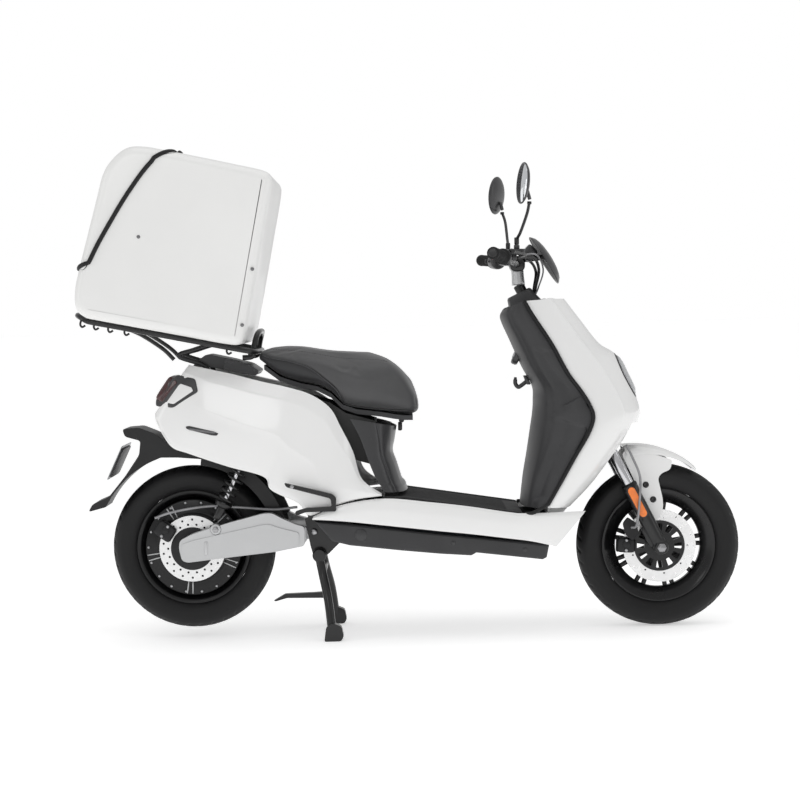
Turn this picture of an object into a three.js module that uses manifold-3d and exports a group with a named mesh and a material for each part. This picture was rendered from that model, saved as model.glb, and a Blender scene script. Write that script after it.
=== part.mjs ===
// A moped scooter with a hub motor, standing on its centre stand, with a delivery box on its rack.
// Millimetres. The scooter is drawn level: X forward from the rear axle, Y to its left, Z up from
// the line under both tyres. One parent group then pitches it nose-down about the front axle, as
// the centre stand holds it, and sets the origin at the middle of its footprint on the ground.
import * as THREE from "three";
import { mergeVertices } from "three/addons/utils/BufferGeometryUtils.js";
import Module from "manifold-3d";

const wasm = await Module();
wasm.setup();

// ---- driving dimensions -------------------------------------------------------------------
const GAP = 0.5; // clearance between pieces that seat on each other
const WHEELBASE = 1330;
const TYRE_R = 233;
const TYRE_W = 92;
const RIM_R = 163; // rim lip, where the tyre bead sits
const RIM_W = 62;
const FRONT_WELL = 41; // depth of the front rim under its lip
const SPOKE_PAIRS = 9;
const HUB_MOTOR_R = 138;
const HUB_MOTOR_W = 104;
const AXLE_R = 8;
const FRONT_DISC_R = 104;
const REAR_DISC_R = 100;
const DISC_T = 4;
const STAND_PITCH = (1.12 * Math.PI) / 180;

const RAKE = (27.1 * Math.PI) / 180; // fork legs from the vertical
const FORK_OFFSET = 15; // legs ahead of the steering axis
const FORK_HALF = 78; // half the distance between the legs
const STANCHION_R = 15;
const LOWER_R = 23;
const STEM_R = 16;
const HEAD_R = 27;
const BAR_R = 11;
const BAR_HALF = 352;
const BAR_Z = 1036;
const GRIP_R = 17;
const GRIP_L = 118;

const ARM_HALF = 92; // inner face of each swingarm leg
const ARM_T = 34;
const PIVOT_X = 347;
const PIVOT_Z = 281;
const STAND_X = 362;
const STAND_Z = 216;

const FLOOR_HALF = 176;
const SKIN_T = 3.5; // plastic body panels

const BOX_L = 483;
const BOX_W = 450;
const BOX_H = 494;
const BOX_WALL = 5;
const BOX_TILT = (10.7 * Math.PI) / 180;
const BOX_X = -277; // lower rear corner of the box floor
const BOX_Z = 890;
const RACK_R = 8;

// ---- materials ----------------------------------------------------------------------------
function mat(color, roughness, metalness) {
  return new THREE.MeshStandardMaterial({ color, roughness, metalness });
}
const WHITE = mat(0xf1f1ef, 0.25, 0);
const BLACK_PLASTIC = mat(0x2b2c2e, 0.6, 0);
const BLACK_STEEL = mat(0x17181a, 0.45, 0.6);
const SILVER = mat(0xb9bbbe, 0.4, 0.8);
const RUBBER = mat(0x1b1b1c, 0.9, 0);
const VINYL = mat(0x404042, 0.7, 0);
const STEEL = mat(0xc9cacc, 0.3, 1);
const RED_LENS = mat(0x6d0f12, 0.2, 0);
const CLEAR_LENS = mat(0xdfe4e8, 0.1, 0);

// ---- small geometry helpers ---------------------------------------------------------------
const v = (x, y, z) => new THREE.Vector3(x, y, z);

// A closed geometry as a manifold solid.
function solid(geometry) {
  const g = geometry.index ? geometry.toNonIndexed() : geometry.clone();
  g.deleteAttribute("normal");
  g.deleteAttribute("uv");
  const m = mergeVertices(g, 1e-4);
  return new wasm.Manifold(
    new wasm.Mesh({
      numProp: 3,
      vertProperties: m.attributes.position.array,
      triVerts: new Uint32Array(m.index.array),
    }),
  );
}

// A manifold solid back as a geometry.
function geometryOf(manifold) {
  const m = manifold.getMesh();
  const g = new THREE.BufferGeometry();
  const positions = new Float32Array(m.numVert * 3);
  for (let i = 0; i < m.numVert; i++) {
    for (let k = 0; k < 3; k++) positions[3 * i + k] = m.vertProperties[i * m.numProp + k];
  }
  g.setAttribute("position", new THREE.BufferAttribute(positions, 3));
  g.setIndex(new THREE.BufferAttribute(new Uint32Array(m.triVerts), 1));
  return g;
}

const joined = (...geometries) => geometryOf(geometries.map(solid).reduce((a, b) => a.add(b)));
const cut = (body, ...tools) => geometryOf(tools.map(solid).reduce((a, b) => a.subtract(b), solid(body)));

function part(name, geometry, material) {
  const g = geometry.index ? geometry.toNonIndexed() : geometry;
  g.computeVertexNormals();
  const mesh = new THREE.Mesh(g, material);
  mesh.name = name;
  return mesh;
}

// A side outline in (x, z), extruded across from y0 to y1.
function sidePlate(outline, y0, y1, bevel = 0) {
  const shape = new THREE.Shape(outline.map(([x, z]) => new THREE.Vector2(x, z)));
  const g = new THREE.ExtrudeGeometry(shape, {
    depth: y1 - y0 - 2 * bevel,
    bevelEnabled: bevel > 0,
    bevelSize: bevel,
    bevelOffset: -bevel,
    bevelThickness: bevel,
    bevelSegments: 2,
  });
  return g.rotateX(Math.PI / 2).translate(0, y1 - bevel, 0);
}

// A round rod from p to q.
function rod(p, q, r, sides = 12) {
  const d = q.clone().sub(p);
  const g = new THREE.CylinderGeometry(r, r, d.length(), sides);
  g.applyQuaternion(new THREE.Quaternion().setFromUnitVectors(v(0, 1, 0), d.clone().normalize()));
  const m = p.clone().add(q).multiplyScalar(0.5);
  return g.translate(m.x, m.y, m.z);
}

// A solid of revolution about the Y axis; profile is [radius, y] pairs.
function revolved(profile, segments) {
  const closed = profile[0][0] === 0 ? profile : [...profile, profile[0]];
  const g = new THREE.LatheGeometry(closed.map(([r, y]) => new THREE.Vector2(r, y)), segments);
  return facingOut(Array.from(g.attributes.position.array), Array.from(g.index.array));
}

// The same about the line through (x, z).
const turned = (profile, x, z, segments = 36) => revolved(profile, segments).translate(x, 0, z);

// A round tube along a smooth curve through the points.
function tube(points, r, sides = 8, steps = 16) {
  const path = new THREE.CatmullRomCurve3(points, false, "centripetal");
  const section = new THREE.Shape();
  for (let i = 0; i < sides; i++) {
    const a = (2 * Math.PI * i) / sides;
    if (i === 0) section.moveTo(r, 0);
    else section.lineTo(r * Math.cos(a), r * Math.sin(a));
  }
  return new THREE.ExtrudeGeometry(section, { steps, bevelEnabled: false, extrudePath: path });
}

// A box with its centre at (x, y, z), turned about Y.
function block(sx, sy, sz, x, y, z, turn = 0) {
  return new THREE.BoxGeometry(sx, sy, sz).rotateY(turn).translate(x, y, z);
}

// A closed ring-by-ring surface: each ring is a list of points, the first and last are capped.
function loft(rings) {
  const n = rings[0].length;
  const pos = rings.flat().flatMap((p) => [p.x, p.y, p.z]);
  const tri = [];
  for (let i = 0; i < rings.length - 1; i++) {
    for (let j = 0; j < n; j++) {
      const a = i * n + j;
      const b = i * n + ((j + 1) % n);
      tri.push(a, b, b + n, a, b + n, a + n);
    }
  }
  for (const [k, flip] of [[0, true], [rings.length - 1, false]]) {
    const c = rings[k].reduce((s, p) => s.add(p), v(0, 0, 0)).multiplyScalar(1 / n);
    const centre = pos.length / 3;
    pos.push(c.x, c.y, c.z);
    for (let j = 0; j < n; j++) {
      const a = k * n + j;
      const b = k * n + ((j + 1) % n);
      if (flip) tri.push(centre, b, a);
      else tri.push(centre, a, b);
    }
  }
  return facingOut(pos, tri);
}

function facingOut(pos, tri) {
  const g = new THREE.BufferGeometry();
  g.setAttribute("position", new THREE.Float32BufferAttribute(pos, 3));
  let volume = 0;
  const p = (i) => v(pos[3 * i], pos[3 * i + 1], pos[3 * i + 2]);
  for (let i = 0; i < tri.length; i += 3) {
    volume += p(tri[i]).dot(p(tri[i + 1]).cross(p(tri[i + 2])));
  }
  if (volume < 0) for (let i = 0; i < tri.length; i += 3) [tri[i], tri[i + 1]] = [tri[i + 1], tri[i]];
  g.setIndex(tri);
  return g;
}

// A curved sheet with an even wall: f(s, t) gives its outer face for s and t from 0 to 1, and the
// wall grows from it by `thickness` on the side that `inward` points to at each place.
function sheet(f, ns, nt, thickness, inward) {
  const e = 1e-3;
  const outer = [];
  const inner = [];
  for (let i = 0; i <= ns; i++) {
    for (let j = 0; j <= nt; j++) {
      const s = i / ns;
      const t = j / nt;
      const ds = f(Math.min(1, s + e), t).sub(f(Math.max(0, s - e), t));
      const dt = f(s, Math.min(1, t + e)).sub(f(s, Math.max(0, t - e)));
      const n = ds.cross(dt).normalize();
      const p = f(s, t);
      if (n.dot(inward(p)) < 0) n.negate();
      outer.push(p);
      inner.push(p.clone().addScaledVector(n, thickness));
    }
  }
  const w = nt + 1;
  const all = [...outer, ...inner];
  const half = outer.length;
  const tri = [];
  for (let i = 0; i < ns; i++) {
    for (let j = 0; j < nt; j++) {
      const a = i * w + j;
      tri.push(a, a + 1, a + w + 1, a, a + w + 1, a + w);
      tri.push(half + a, half + a + w + 1, half + a + 1, half + a, half + a + w, half + a + w + 1);
    }
  }
  const rim = [];
  for (let j = 0; j < nt; j++) rim.push([j, j + 1]);
  for (let i = 0; i < ns; i++) rim.push([i * w + nt, (i + 1) * w + nt]);
  for (let j = nt; j > 0; j--) rim.push([ns * w + j, ns * w + j - 1]);
  for (let i = ns; i > 0; i--) rim.push([i * w, (i - 1) * w]);
  for (const [a, b] of rim) tri.push(a, half + a, half + b, a, half + b, b);
  return facingOut(all.flatMap((p) => [p.x, p.y, p.z]), tri);
}

// A smooth interpolation of rows of numbers: row(0) is the first, row(1) the last.
function smoothRows(rows) {
  const last = rows.length - 1;
  return (u) => {
    const i = Math.min(last - 1, Math.floor(u * last));
    const f = u * last - i;
    const [a, b, c, d] = [rows[Math.max(0, i - 1)], rows[i], rows[i + 1], rows[Math.min(last, i + 2)]];
    return b.map((_, k) => {
      const m0 = (c[k] - a[k]) / 2;
      const m1 = (d[k] - b[k]) / 2;
      const h = c[k] - b[k];
      return b[k] + f * (m0 + f * (3 * h - 2 * m0 - m1 + f * (m0 + m1 - 2 * h)));
    });
  };
}

const mirrorY = (geometry) => {
  const g = geometry.index ? geometry.toNonIndexed() : geometry.clone();
  g.scale(1, -1, 1);
  const p = g.attributes.position.array;
  for (let i = 0; i < p.length; i += 9) {
    for (let k = 0; k < 3; k++) [p[i + 3 + k], p[i + 6 + k]] = [p[i + 6 + k], p[i + 3 + k]];
  }
  return g;
};

// A pair of handed pieces; `make` draws the one on the right (-Y).
const pair = (stem, make, material) => [
  part(`${stem}_right`, make(), material),
  part(`${stem}_left`, mirrorY(make()), material),
];

// ---- the steering line --------------------------------------------------------------------
const legDown = v(Math.sin(RAKE), 0, -Math.cos(RAKE));
const legAhead = v(Math.cos(RAKE), 0, Math.sin(RAKE));
const frontAxle = v(WHEELBASE, 0, TYRE_R);
// A point on the fork legs' line at height z, `ahead` of it and at y.
const onLeg = (z, ahead = 0, y = 0) =>
  frontAxle.clone().addScaledVector(legDown, (TYRE_R - z) / Math.cos(RAKE))
    .addScaledVector(legAhead, ahead).add(v(0, y, 0));
const onSteer = (z, y = 0) => onLeg(z, -FORK_OFFSET, y);

// ---- wheels -------------------------------------------------------------------------------
function tyre(x) {
  const w = TYRE_W / 2;
  const b = RIM_W / 2;
  const rim = RIM_R + GAP;
  const profile = [[rim, -b], [rim + 16, -w + 4], [rim + 38, -w], [TYRE_R - 14, -w + 12], [TYRE_R, -14],
    [TYRE_R, 14], [TYRE_R - 14, w - 12], [rim + 38, w], [rim + 16, w - 4], [rim, b]];
  return turned(profile, x, TYRE_R, 40);
}

// The rim's ring: its well is `depth` under the lip.
function rimRing(x, depth) {
  const b = RIM_W / 2;
  const well = RIM_R - depth;
  const profile = [[RIM_R, -b], [RIM_R, b], [RIM_R - 12, b], [well, 10], [well, -10], [RIM_R - 12, -b]];
  return turned(profile, x, TYRE_R, 30);
}

function frontRim() {
  const ring = rimRing(WHEELBASE, FRONT_WELL);
  const hub = turned([[AXLE_R + GAP, -34], [30, -34], [30, 34], [AXLE_R + GAP, 34]], WHEELBASE, TYRE_R, 20);
  const spokes = [];
  for (let i = 0; i < SPOKE_PAIRS; i++) {
    for (const side of [-1, 1]) {
      const a = (2 * i * Math.PI) / SPOKE_PAIRS + side * 0.09 + 0.1;
      const at = (r) => v(WHEELBASE + r * Math.cos(a), 0, TYRE_R + r * Math.sin(a));
      spokes.push(rod(at(24), at(RIM_R - FRONT_WELL + 6), 6.5, 6));
    }
  }
  return joined(ring, hub, ...spokes);
}

function hubMotor() {
  const h = HUB_MOTOR_W / 2;
  const hole = AXLE_R + GAP;
  const motor = turned([[hole, -h], [44, -h], [62, -h + 9], [HUB_MOTOR_R, -h + 20],
    [HUB_MOTOR_R, h - 20], [62, h - 9], [44, h], [hole, h]], 0, TYRE_R, 30);
  return joined(motor, rimRing(0, RIM_R - HUB_MOTOR_R + 1));
}

function disc(x, y, r, eye) {
  return turned([[eye, y - DISC_T / 2], [r, y - DISC_T / 2], [r, y + DISC_T / 2], [eye, y + DISC_T / 2]],
    x, TYRE_R, 30);
}

const FRONT_DISC_Y = -(HUB_MOTOR_W / 2) + 8;
const REAR_DISC_Y = -(HUB_MOTOR_W / 2) - 12;

// The front disc with the spider that carries it against the hub.
function frontDisc() {
  const ring = disc(WHEELBASE, FRONT_DISC_Y, FRONT_DISC_R, 74);
  const eye = turned([[AXLE_R + GAP, FRONT_DISC_Y - 2], [34, FRONT_DISC_Y - 2], [34, -34 - GAP],
    [AXLE_R + GAP, -34 - GAP]], WHEELBASE, TYRE_R, 24);
  const arms = [];
  for (let i = 0; i < 5; i++) {
    const arm = block(52, 3.6, 16, 55, FRONT_DISC_Y, 0).rotateY((i * 2 * Math.PI) / 5);
    arms.push(arm.translate(WHEELBASE, 0, TYRE_R));
  }
  return joined(ring, eye, ...arms);
}

function rearDisc() {
  const y = REAR_DISC_Y;
  const carrier = turned([[AXLE_R + GAP, y - 2], [72, y - 2], [72, y + 2], [40, y + 2],
    [40, -HUB_MOTOR_W / 2 - GAP], [AXLE_R + GAP, -HUB_MOTOR_W / 2 - GAP]], 0, TYRE_R, 30);
  return joined(disc(0, y, REAR_DISC_R, 70), carrier);
}

// A brake caliper straddling a disc: two pads' housings and the bridge outside the rim.
function caliper(x, discY, discR, angle, size) {
  const slot = DISC_T / 2 + 2;
  const body = block(size, 36, size * 0.82, discR - 8, discY, 0);
  const kerf = block(size, 2 * slot, size * 2, discR - 8 - size / 2 - 6 + 15, discY, 0);
  return cut(body, kerf).rotateY(-angle).translate(x, 0, TYRE_R);
}

// ---- front end ----------------------------------------------------------------------------
const YOKE_Z = 545;
const STEM_TOP_Z = 985;
const HEAD_LOW_Z = 594;
const HEAD_TOP_Z = 865;
const LOWER_TOP_Z = 408;

// Lower yoke, steering stem and the two stanchions clamped into it.
function forkYoke() {
  const pieces = [rod(onSteer(YOKE_Z), onSteer(STEM_TOP_Z), STEM_R, 16)];
  pieces.push(new THREE.BoxGeometry(62, 2 * FORK_HALF + 52, 30).rotateY(RAKE)
    .translate(onLeg(YOKE_Z, -FORK_OFFSET / 2).x, 0, YOKE_Z));
  for (const s of [-1, 1]) {
    const top = onLeg(YOKE_Z + 12, 0, s * FORK_HALF);
    const foot = onLeg(LOWER_TOP_Z - 120, 0, s * FORK_HALF);
    pieces.push(rod(top, foot, STANCHION_R, 16));
  }
  return joined(...pieces);
}

// The sliding lower leg, bored for the stanchion, with its axle lug.
function forkLower(side) {
  const y = side * FORK_HALF;
  const leg = rod(onLeg(LOWER_TOP_Z, 0, y), onLeg(TYRE_R - 8, 0, y), LOWER_R, 18);
  const lug = rod(v(WHEELBASE, y - side * 24, TYRE_R), v(WHEELBASE, y + side * 22, TYRE_R), 20, 18);
  const mouth = onLeg(LOWER_TOP_Z + 10, 0, y);
  const bore = rod(mouth, onLeg(LOWER_TOP_Z - 182, 0, y), STANCHION_R + GAP, 16);
  const stem = side < 0 ? frontAxleSpindle() : null;
  const hole = rod(v(WHEELBASE, -150, TYRE_R), v(WHEELBASE, 150, TYRE_R), AXLE_R + GAP, 16);
  return stem ? joined(cut(joined(leg, lug), bore), stem) : cut(joined(leg, lug), bore, hole);
}

function frontAxleSpindle() {
  return rod(v(WHEELBASE, -FORK_HALF, TYRE_R), v(WHEELBASE, FORK_HALF + 34, TYRE_R), AXLE_R, 16);
}

const FENDER_HALF = 60;

// Front fender: an arched skin over the tyre with side stays down to the fork legs.
function frontFender() {
  const front = (64 * Math.PI) / 180;
  const rear = (110 * Math.PI) / 180;
  const crown = (s, t) => {
    const a = rear + (front - rear) * s;
    const w = (t - 0.5) * 2;
    const half = FENDER_HALF * (1 - 0.35 * Math.pow(s, 3));
    const r = TYRE_R + 12 + 58 * Math.pow(1 - s, 0.9) - 30 * Math.pow(Math.abs(w), 3) * (1 - 0.7 * s);
    return v(WHEELBASE + r * Math.cos(a), half * Math.sin((w * Math.PI) / 2), TYRE_R + r * Math.sin(a));
  };
  const toAxle = (p) => v(WHEELBASE - p.x, 0, TYRE_R - p.z);
  const skin = sheet(crown, 12, 6, SKIN_T, toAxle);
  const stay = [[1222, 494], [1234, 508], [1300, 500], [1366, 478], [1360, 451], [1334, 440], [1325, 426],
    [1338, 370], [1340, 346], [1333, 318], [1318, 304], [1282, 370], [1250, 435]];
  const inner = FENDER_HALF - 12;
  const outer = FENDER_HALF - 6;
  const wheelRoom = turned([[0, -42], [TYRE_R + 6, -42], [TYRE_R + 6, 42], [0, 42]], WHEELBASE, TYRE_R, 36);
  const legRoom = (y) => rod(onLeg(LOWER_TOP_Z + 2, 0, y), onLeg(260, 0, y), LOWER_R + GAP, 16);
  const guard = joined(skin, sidePlate(stay, -outer, -inner), sidePlate(stay, inner, outer));
  return cut(guard, wheelRoom, legRoom(-FORK_HALF), legRoom(FORK_HALF));
}

// The bar: grips swept back from the clamp, with the riser that holds it on the stem.
const barEnd = (s) => v(842, s * BAR_HALF, 1058);
const barKnee = (s) => v(905, s * 120, 1046);
const barCentre = v(928, 0, BAR_Z);
const GRIP_IN = BAR_HALF - GRIP_L;

// A point on the bar's outer stretch at distance |y| from the middle.
function onBar(s, y) {
  const f = (y - 120) / (BAR_HALF - 120);
  return barKnee(s).lerp(barEnd(s), f);
}

function handlebar() {
  const pieces = [];
  for (const s of [-1, 1]) {
    pieces.push(rod(barCentre.clone().add(v(0, -s * 3, 0)), barKnee(s), BAR_R, 12));
    pieces.push(rod(barKnee(s), onBar(s, BAR_HALF - 6), BAR_R, 12));
    pieces.push(new THREE.SphereGeometry(BAR_R * 1.02, 8, 5).translate(...barKnee(s).toArray()));
  }
  pieces.push(rod(v(928, -34, BAR_Z), v(928, 34, BAR_Z), BAR_R + 10, 18));
  pieces.push(rod(onSteer(STEM_TOP_Z), barCentre.clone(), STEM_R + 2, 16));
  return cut(joined(...pieces), rod(onSteer(STEM_TOP_Z - 80), onSteer(STEM_TOP_Z + GAP), STEM_R + 12, 16));
}

function grip(s) {
  const outer = rod(onBar(s, GRIP_IN), onBar(s, BAR_HALF), GRIP_R, 20);
  return cut(outer, rod(onBar(s, GRIP_IN - 8), onBar(s, BAR_HALF - 6 + GAP), BAR_R + GAP, 12));
}

// Switch block with the brake's master cylinder and the mirror boss, split round the bar.
function switchHousing(s) {
  const c = onBar(s, GRIP_IN - 24);
  const sleeve = rod(onBar(s, GRIP_IN - 46), onBar(s, GRIP_IN - 2), 23, 18);
  const reservoir = block(46, 50, 34, c.x + 34, s * (GRIP_IN - 36), c.z + 6);
  const neck = block(40, 30, 22, c.x + 14, s * (GRIP_IN - 36), c.z);
  const bossFoot = v(c.x + 34, s * (GRIP_IN - 30), c.z + 16);
  const boss = rod(bossFoot, bossFoot.clone().setZ(c.z + 34), 8, 12);
  const lever = leverRoom(s);
  const hole = rod(onBar(s, GRIP_IN - 70), onBar(s, GRIP_IN + 20), BAR_R + GAP, 12);
  return cut(joined(sleeve, reservoir, neck, boss), hole, lever);
}

const leverPivot = (s) => {
  const c = onBar(s, GRIP_IN - 24);
  return v(c.x + 46, s * (GRIP_IN - 14), c.z + 4);
};
const leverRoom = (s) => {
  const p = leverPivot(s);
  return block(90, 40, 14, p.x - 6, p.y + s * 8, p.z);
};

function brakeLever(s) {
  const p = leverPivot(s);
  const tip = v(barEnd(s).x + 52, s * (BAR_HALF - 4), p.z + 8);
  const mid = v(p.x + 8, p.y + s * 42, p.z + 1);
  const eye = new THREE.CylinderGeometry(8, 8, 9, 14).rotateX(Math.PI / 2).translate(p.x, p.y, p.z);
  const blade = tube([p.clone(), mid, mid.clone().lerp(tip, 0.5).add(v(2, 0, 0)), tip], 4.2, 6, 7);
  return joined(eye, blade);
}

// Mirrors: a thin bent stem from the master cylinder's boss and a shallow oval head.
const MIRROR = { right: { x: 930, z: 1248, turn: 0.24 }, left: { x: 888, z: 1250, turn: -0.5 } };
const MIRROR_Y = 282;

function mirrorBoss(s) {
  const c = onBar(s, GRIP_IN - 24);
  return v(c.x + 34, s * (GRIP_IN - 30), c.z + 34 + GAP);
}

function mirrorStem(s, m) {
  const b = mirrorBoss(s);
  const neck = v(m.x + 14, s * MIRROR_Y, m.z - 52);
  return joined(
    rod(b, b.clone().add(v(0, 0, 20)), 7, 12),
    tube([b.clone().add(v(0, 0, 12)), b.clone().lerp(neck, 0.25).add(v(2, 0, 6)),
      b.clone().lerp(neck, 0.7).add(v(4, 0, 4)), neck], 4, 6, 8),
  );
}

function mirrorHead(s, m) {
  const profile = [[0, -9], [24, -8], [42, -4], [50, 2], [50, 6], [0, 6]];
  const dish = revolved(profile, 20);
  dish.rotateZ(Math.PI / 2).scale(1, 1, 1.12).rotateY(0.08);
  const neck = rod(v(16, 0, -44), v(9, 0, -20), 5, 10);
  const head = joined(dish, neck).rotateZ(m.turn);
  return head.translate(m.x, s * MIRROR_Y, m.z);
}

// Fly screen: a shallow round dish that leans back, on a stalk from the bar clamp, with the
// instrument behind it.
const SCREEN = { x: 1012, z: 1052, r: 78, lean: (32 * Math.PI) / 180 };
function flyScreen() {
  const profile = [[0, 14], [40, 11], [66, 3], [SCREEN.r, -8], [SCREEN.r - 3, -10], [64, -1], [38, 6], [0, 9]];
  const dish = revolved(profile, 22).rotateZ(-Math.PI / 2).rotateY(-SCREEN.lean)
    .translate(SCREEN.x, 0, SCREEN.z);
  const stalk = rod(v(946, 0, BAR_Z + 12), v(1022, 0, SCREEN.z + 6), 9, 10);
  const pod = block(34, 96, 46, 960, 0, 1066, 0.5);
  const clamp = rod(v(928, -60, BAR_Z), v(928, 60, BAR_Z), BAR_R + 10 + GAP, 18);
  const barRoom = [-1, 1].map((s) => rod(barCentre.clone(), barKnee(s), BAR_R + GAP, 12));
  return cut(joined(dish, stalk, pod), clamp, ...barRoom);
}

// ---- shield, floor and body panels --------------------------------------------------------
// Rows up the shield: front centre x and z, side edge x, half width and z, rider's side x and z.
const shieldRow = smoothRows([
  [1086, 352, 1000, 184, 357, 940, 352],
  [1150, 414, 1038, 186, 424, 948, 430],
  [1204, 480, 1080, 187, 500, 959, 500],
  [1250, 545, 1116, 186, 562, 968, 562],
  [1278, 612, 1131, 182, 606, 975, 612],
  [1262, 668, 1122, 176, 640, 977, 650],
  [1238, 720, 1098, 168, 680, 974, 690],
  [1206, 780, 1062, 157, 730, 944, 746],
  [1160, 812, 1018, 142, 812, 911, 819],
  [1110, 875, 968, 122, 890, 884, 881],
  [1062, 938, 944, 110, 932, 890, 905],
]);

function apronPoint(s, t) {
  const [xf, zf, xe, w, ze] = shieldRow(t);
  const a = (s - 0.5) * Math.PI;
  const c = Math.cos(a);
  return v(xe + (xf - xe) * Math.pow(Math.max(c, 0), 0.9), w * Math.sin(a), ze + (zf - ze) * c);
}

function frontApron() {
  const skin = sheet(apronPoint, 14, 11, SKIN_T, (p) => v(1000 - p.x, -p.y, 0));
  const arch = sidePlate([[1040, 300], [1330, 300], [1330, 592], [1180, 592], [1100, 480]], -122, 122);
  return cut(skin, arch);
}

const LENS_S = 0.13;
function headlightLens() {
  const f = (s, t) => {
    const ss = 0.5 + (s - 0.5) * 2 * LENS_S;
    const tt = 0.49 + 0.2 * t;
    const e = 1e-3;
    const along = apronPoint(ss + e, tt).sub(apronPoint(ss - e, tt));
    const across = apronPoint(ss, tt + e).sub(apronPoint(ss, tt - e));
    const n = along.cross(across);
    n.normalize();
    if (n.x < 0) n.negate();
    return apronPoint(ss, tt).addScaledVector(n, 9);
  };
  return sheet(f, 4, 4, 8, (p) => v(1000 - p.x, -p.y, 0));
}

function shieldInnerPoint(s, t) {
  const [, , xe, w, ze, xr, zr] = shieldRow(t);
  const a = (s - 0.5) * Math.PI;
  const c = Math.max(Math.cos(a), 0);
  return v(xe - 5 + (xr - xe + 5) * c * (1.3 - 0.3 * c), (w - 7) * Math.sin(a), ze + (zr - ze) * c);
}

// The rider's side of the shield, with the cover over the steering column above it.
function innerShield() {
  return sheet(shieldInnerPoint, 10, 10, SKIN_T, () => v(1, 0, 0));
}

function columnCover() {
  const outer = sidePlate([[888, 914], [912, 916], [1050, 946], [962, 956], [886, 974], [880, 940]], -52, 52, 4);
  const low = rod(onSteer(880), onSteer(1000), STEM_R + 6, 20);
  return cut(outer, low);
}

function floorMat() {
  const top = [[548, 388], [600, 388], [930, 342], [934, 334], [600, 378], [548, 380]];
  return sidePlate(top, -FLOOR_HALF, FLOOR_HALF);
}

// A handed panel between a lower and an upper edge: rows of x, half width, z below and above.
function sidePanel(rows, bulge, ns, nt) {
  const row = smoothRows(rows);
  const f = (s, t) => {
    const [xl, yl, zl, xu, yu, zu] = row(s);
    const y = yl + (yu - yl) * t + bulge * Math.sin(Math.PI * t);
    return v(xl + (xu - xl) * t, -y, zl + (zu - zl) * t);
  };
  return sheet(f, ns, nt, SKIN_T, () => v(0, 1, 0));
}

const rearBody = () => sidePanel([
  [-100, 88, 619, -2, 100, 757],
  [-94, 100, 592, 20, 112, 752],
  [-53, 120, 529, 75, 126, 741],
  [0, 134, 508, 130, 134, 729],
  [110, 152, 473, 200, 142, 711],
  [210, 163, 445, 280, 148, 693],
  [232, 168, 408, 345, 152, 672],
  [307, 175, 371, 397, 157, 635],
  [338, 180, 338, 425, 162, 585],
  [400, 183, 362, 460, 168, 515],
  [470, 185, 382, 485, 176, 440],
  [540, 187, 392, 540, 187, 400],
], 14, 16, 5);

const sideSkirt = () => sidePanel([
  [346, 182, 326, 350, 183, 336],
  [440, 186, 321, 425, 186, 367],
  [537, 186, 311, 545, 187.5, 385],
  [703, 186, 293, 679, 188, 374],
  [784, 186, 285, 784, 188, 362],
  [890, 184, 272, 890, 188, 346],
  [960, 178, 262, 948, 187, 342],
  [1026, 166, 246, 1108, 168, 346],
], 5, 12, 4);

function bellyPan() {
  const outer = [[352, 318], [430, 312], [540, 300], [700, 282], [900, 262], [1008, 250], [1001, 214], [990, 208],
    [804, 228], [790, 220], [704, 225], [592, 235], [450, 250], [400, 262]];
  const inner = [[424, 340], [1002, 300], [984, 222], [812, 240], [700, 237], [592, 247], [460, 262]];
  const slots = [-1, 1].map((s) => block(140, PLATE_T + 4, 160, 390, s * (PLATE_IN + PLATE_T / 2), 290));
  return cut(sidePlate(outer, -150, 150, 6), sidePlate(inner, -138, 138), ...slots);
}

const pedestalRow = smoothRows([
  [613, 398, 548, 176, 402],
  [602, 430, 528, 170, 432],
  [588, 474, 512, 160, 466],
  [577, 508, 497, 152, 505],
  [582, 540, 478, 148, 556],
  [588, 578, 452, 144, 604],
]);

function seatPedestal() {
  const f = (s, t) => {
    const [xf, zf, xe, w, ze] = pedestalRow(t);
    const a = (s - 0.5) * Math.PI;
    const c = Math.max(Math.cos(a), 0);
    return v(xe + (xf - xe) * Math.pow(c, 0.8), w * Math.sin(a), ze + (zf - ze) * c);
  };
  return sheet(f, 12, 6, SKIN_T, () => v(-1, 0, 0));
}

// ---- seat ---------------------------------------------------------------------------------
const SEAT_HINGE = { x: 596, z: 594 };
// Stations along the seat: x, underside z, top z, half width.
const SEAT_ROWS = [
  [194, 768, 786, 84], [210, 756, 800, 104], [256, 722, 801, 120], [313, 704, 799, 131], [360, 695, 792, 137],
  [398, 676, 787, 141], [430, 644, 785, 142], [470, 630, 783, 141], [538, 622, 779, 134], [572, 616, 764, 124],
  [602, 612, 734, 108], [628, 612, 688, 88], [645, 622, 655, 60],
];

function seatRing([x, low, top, w], inset = 0) {
  const ring = [];
  const count = 16;
  const h = (top - low) / 2 - inset;
  for (let i = 0; i < count; i++) {
    const a = (2 * Math.PI * i) / count;
    const c = Math.cos(a);
    const s = Math.sin(a);
    const round = (q, p) => Math.sign(q) * Math.pow(Math.abs(q), p);
    ring.push(v(x, (w - inset) * round(c, 0.55), (low + top) / 2 + h * round(s, 0.6)));
  }
  return ring;
}

const seatCushion = () => loft(SEAT_ROWS.map((r) => seatRing(r)));

function seatBase() {
  const under = SEAT_ROWS.slice(1, 12).map(([x, low]) => [x, low - 1]);
  const below = under.map(([x, z]) => [x, z - 13]).reverse();
  const pan = sidePlate([...under, ...below], -96, 96);
  const knuckle = rod(v(SEAT_HINGE.x, -16, SEAT_HINGE.z), v(SEAT_HINGE.x, 16, SEAT_HINGE.z), 8, 14);
  const post = block(12, 24, 14, SEAT_HINGE.x, 0, SEAT_HINGE.z + 7);
  return cut(joined(pan, knuckle, post), seatCushionRoom());
}

function seatCushionRoom() {
  return loft(SEAT_ROWS.map(([x, low, top, w]) => seatRing([x, low - GAP, top + GAP, w + GAP])));
}

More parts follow.
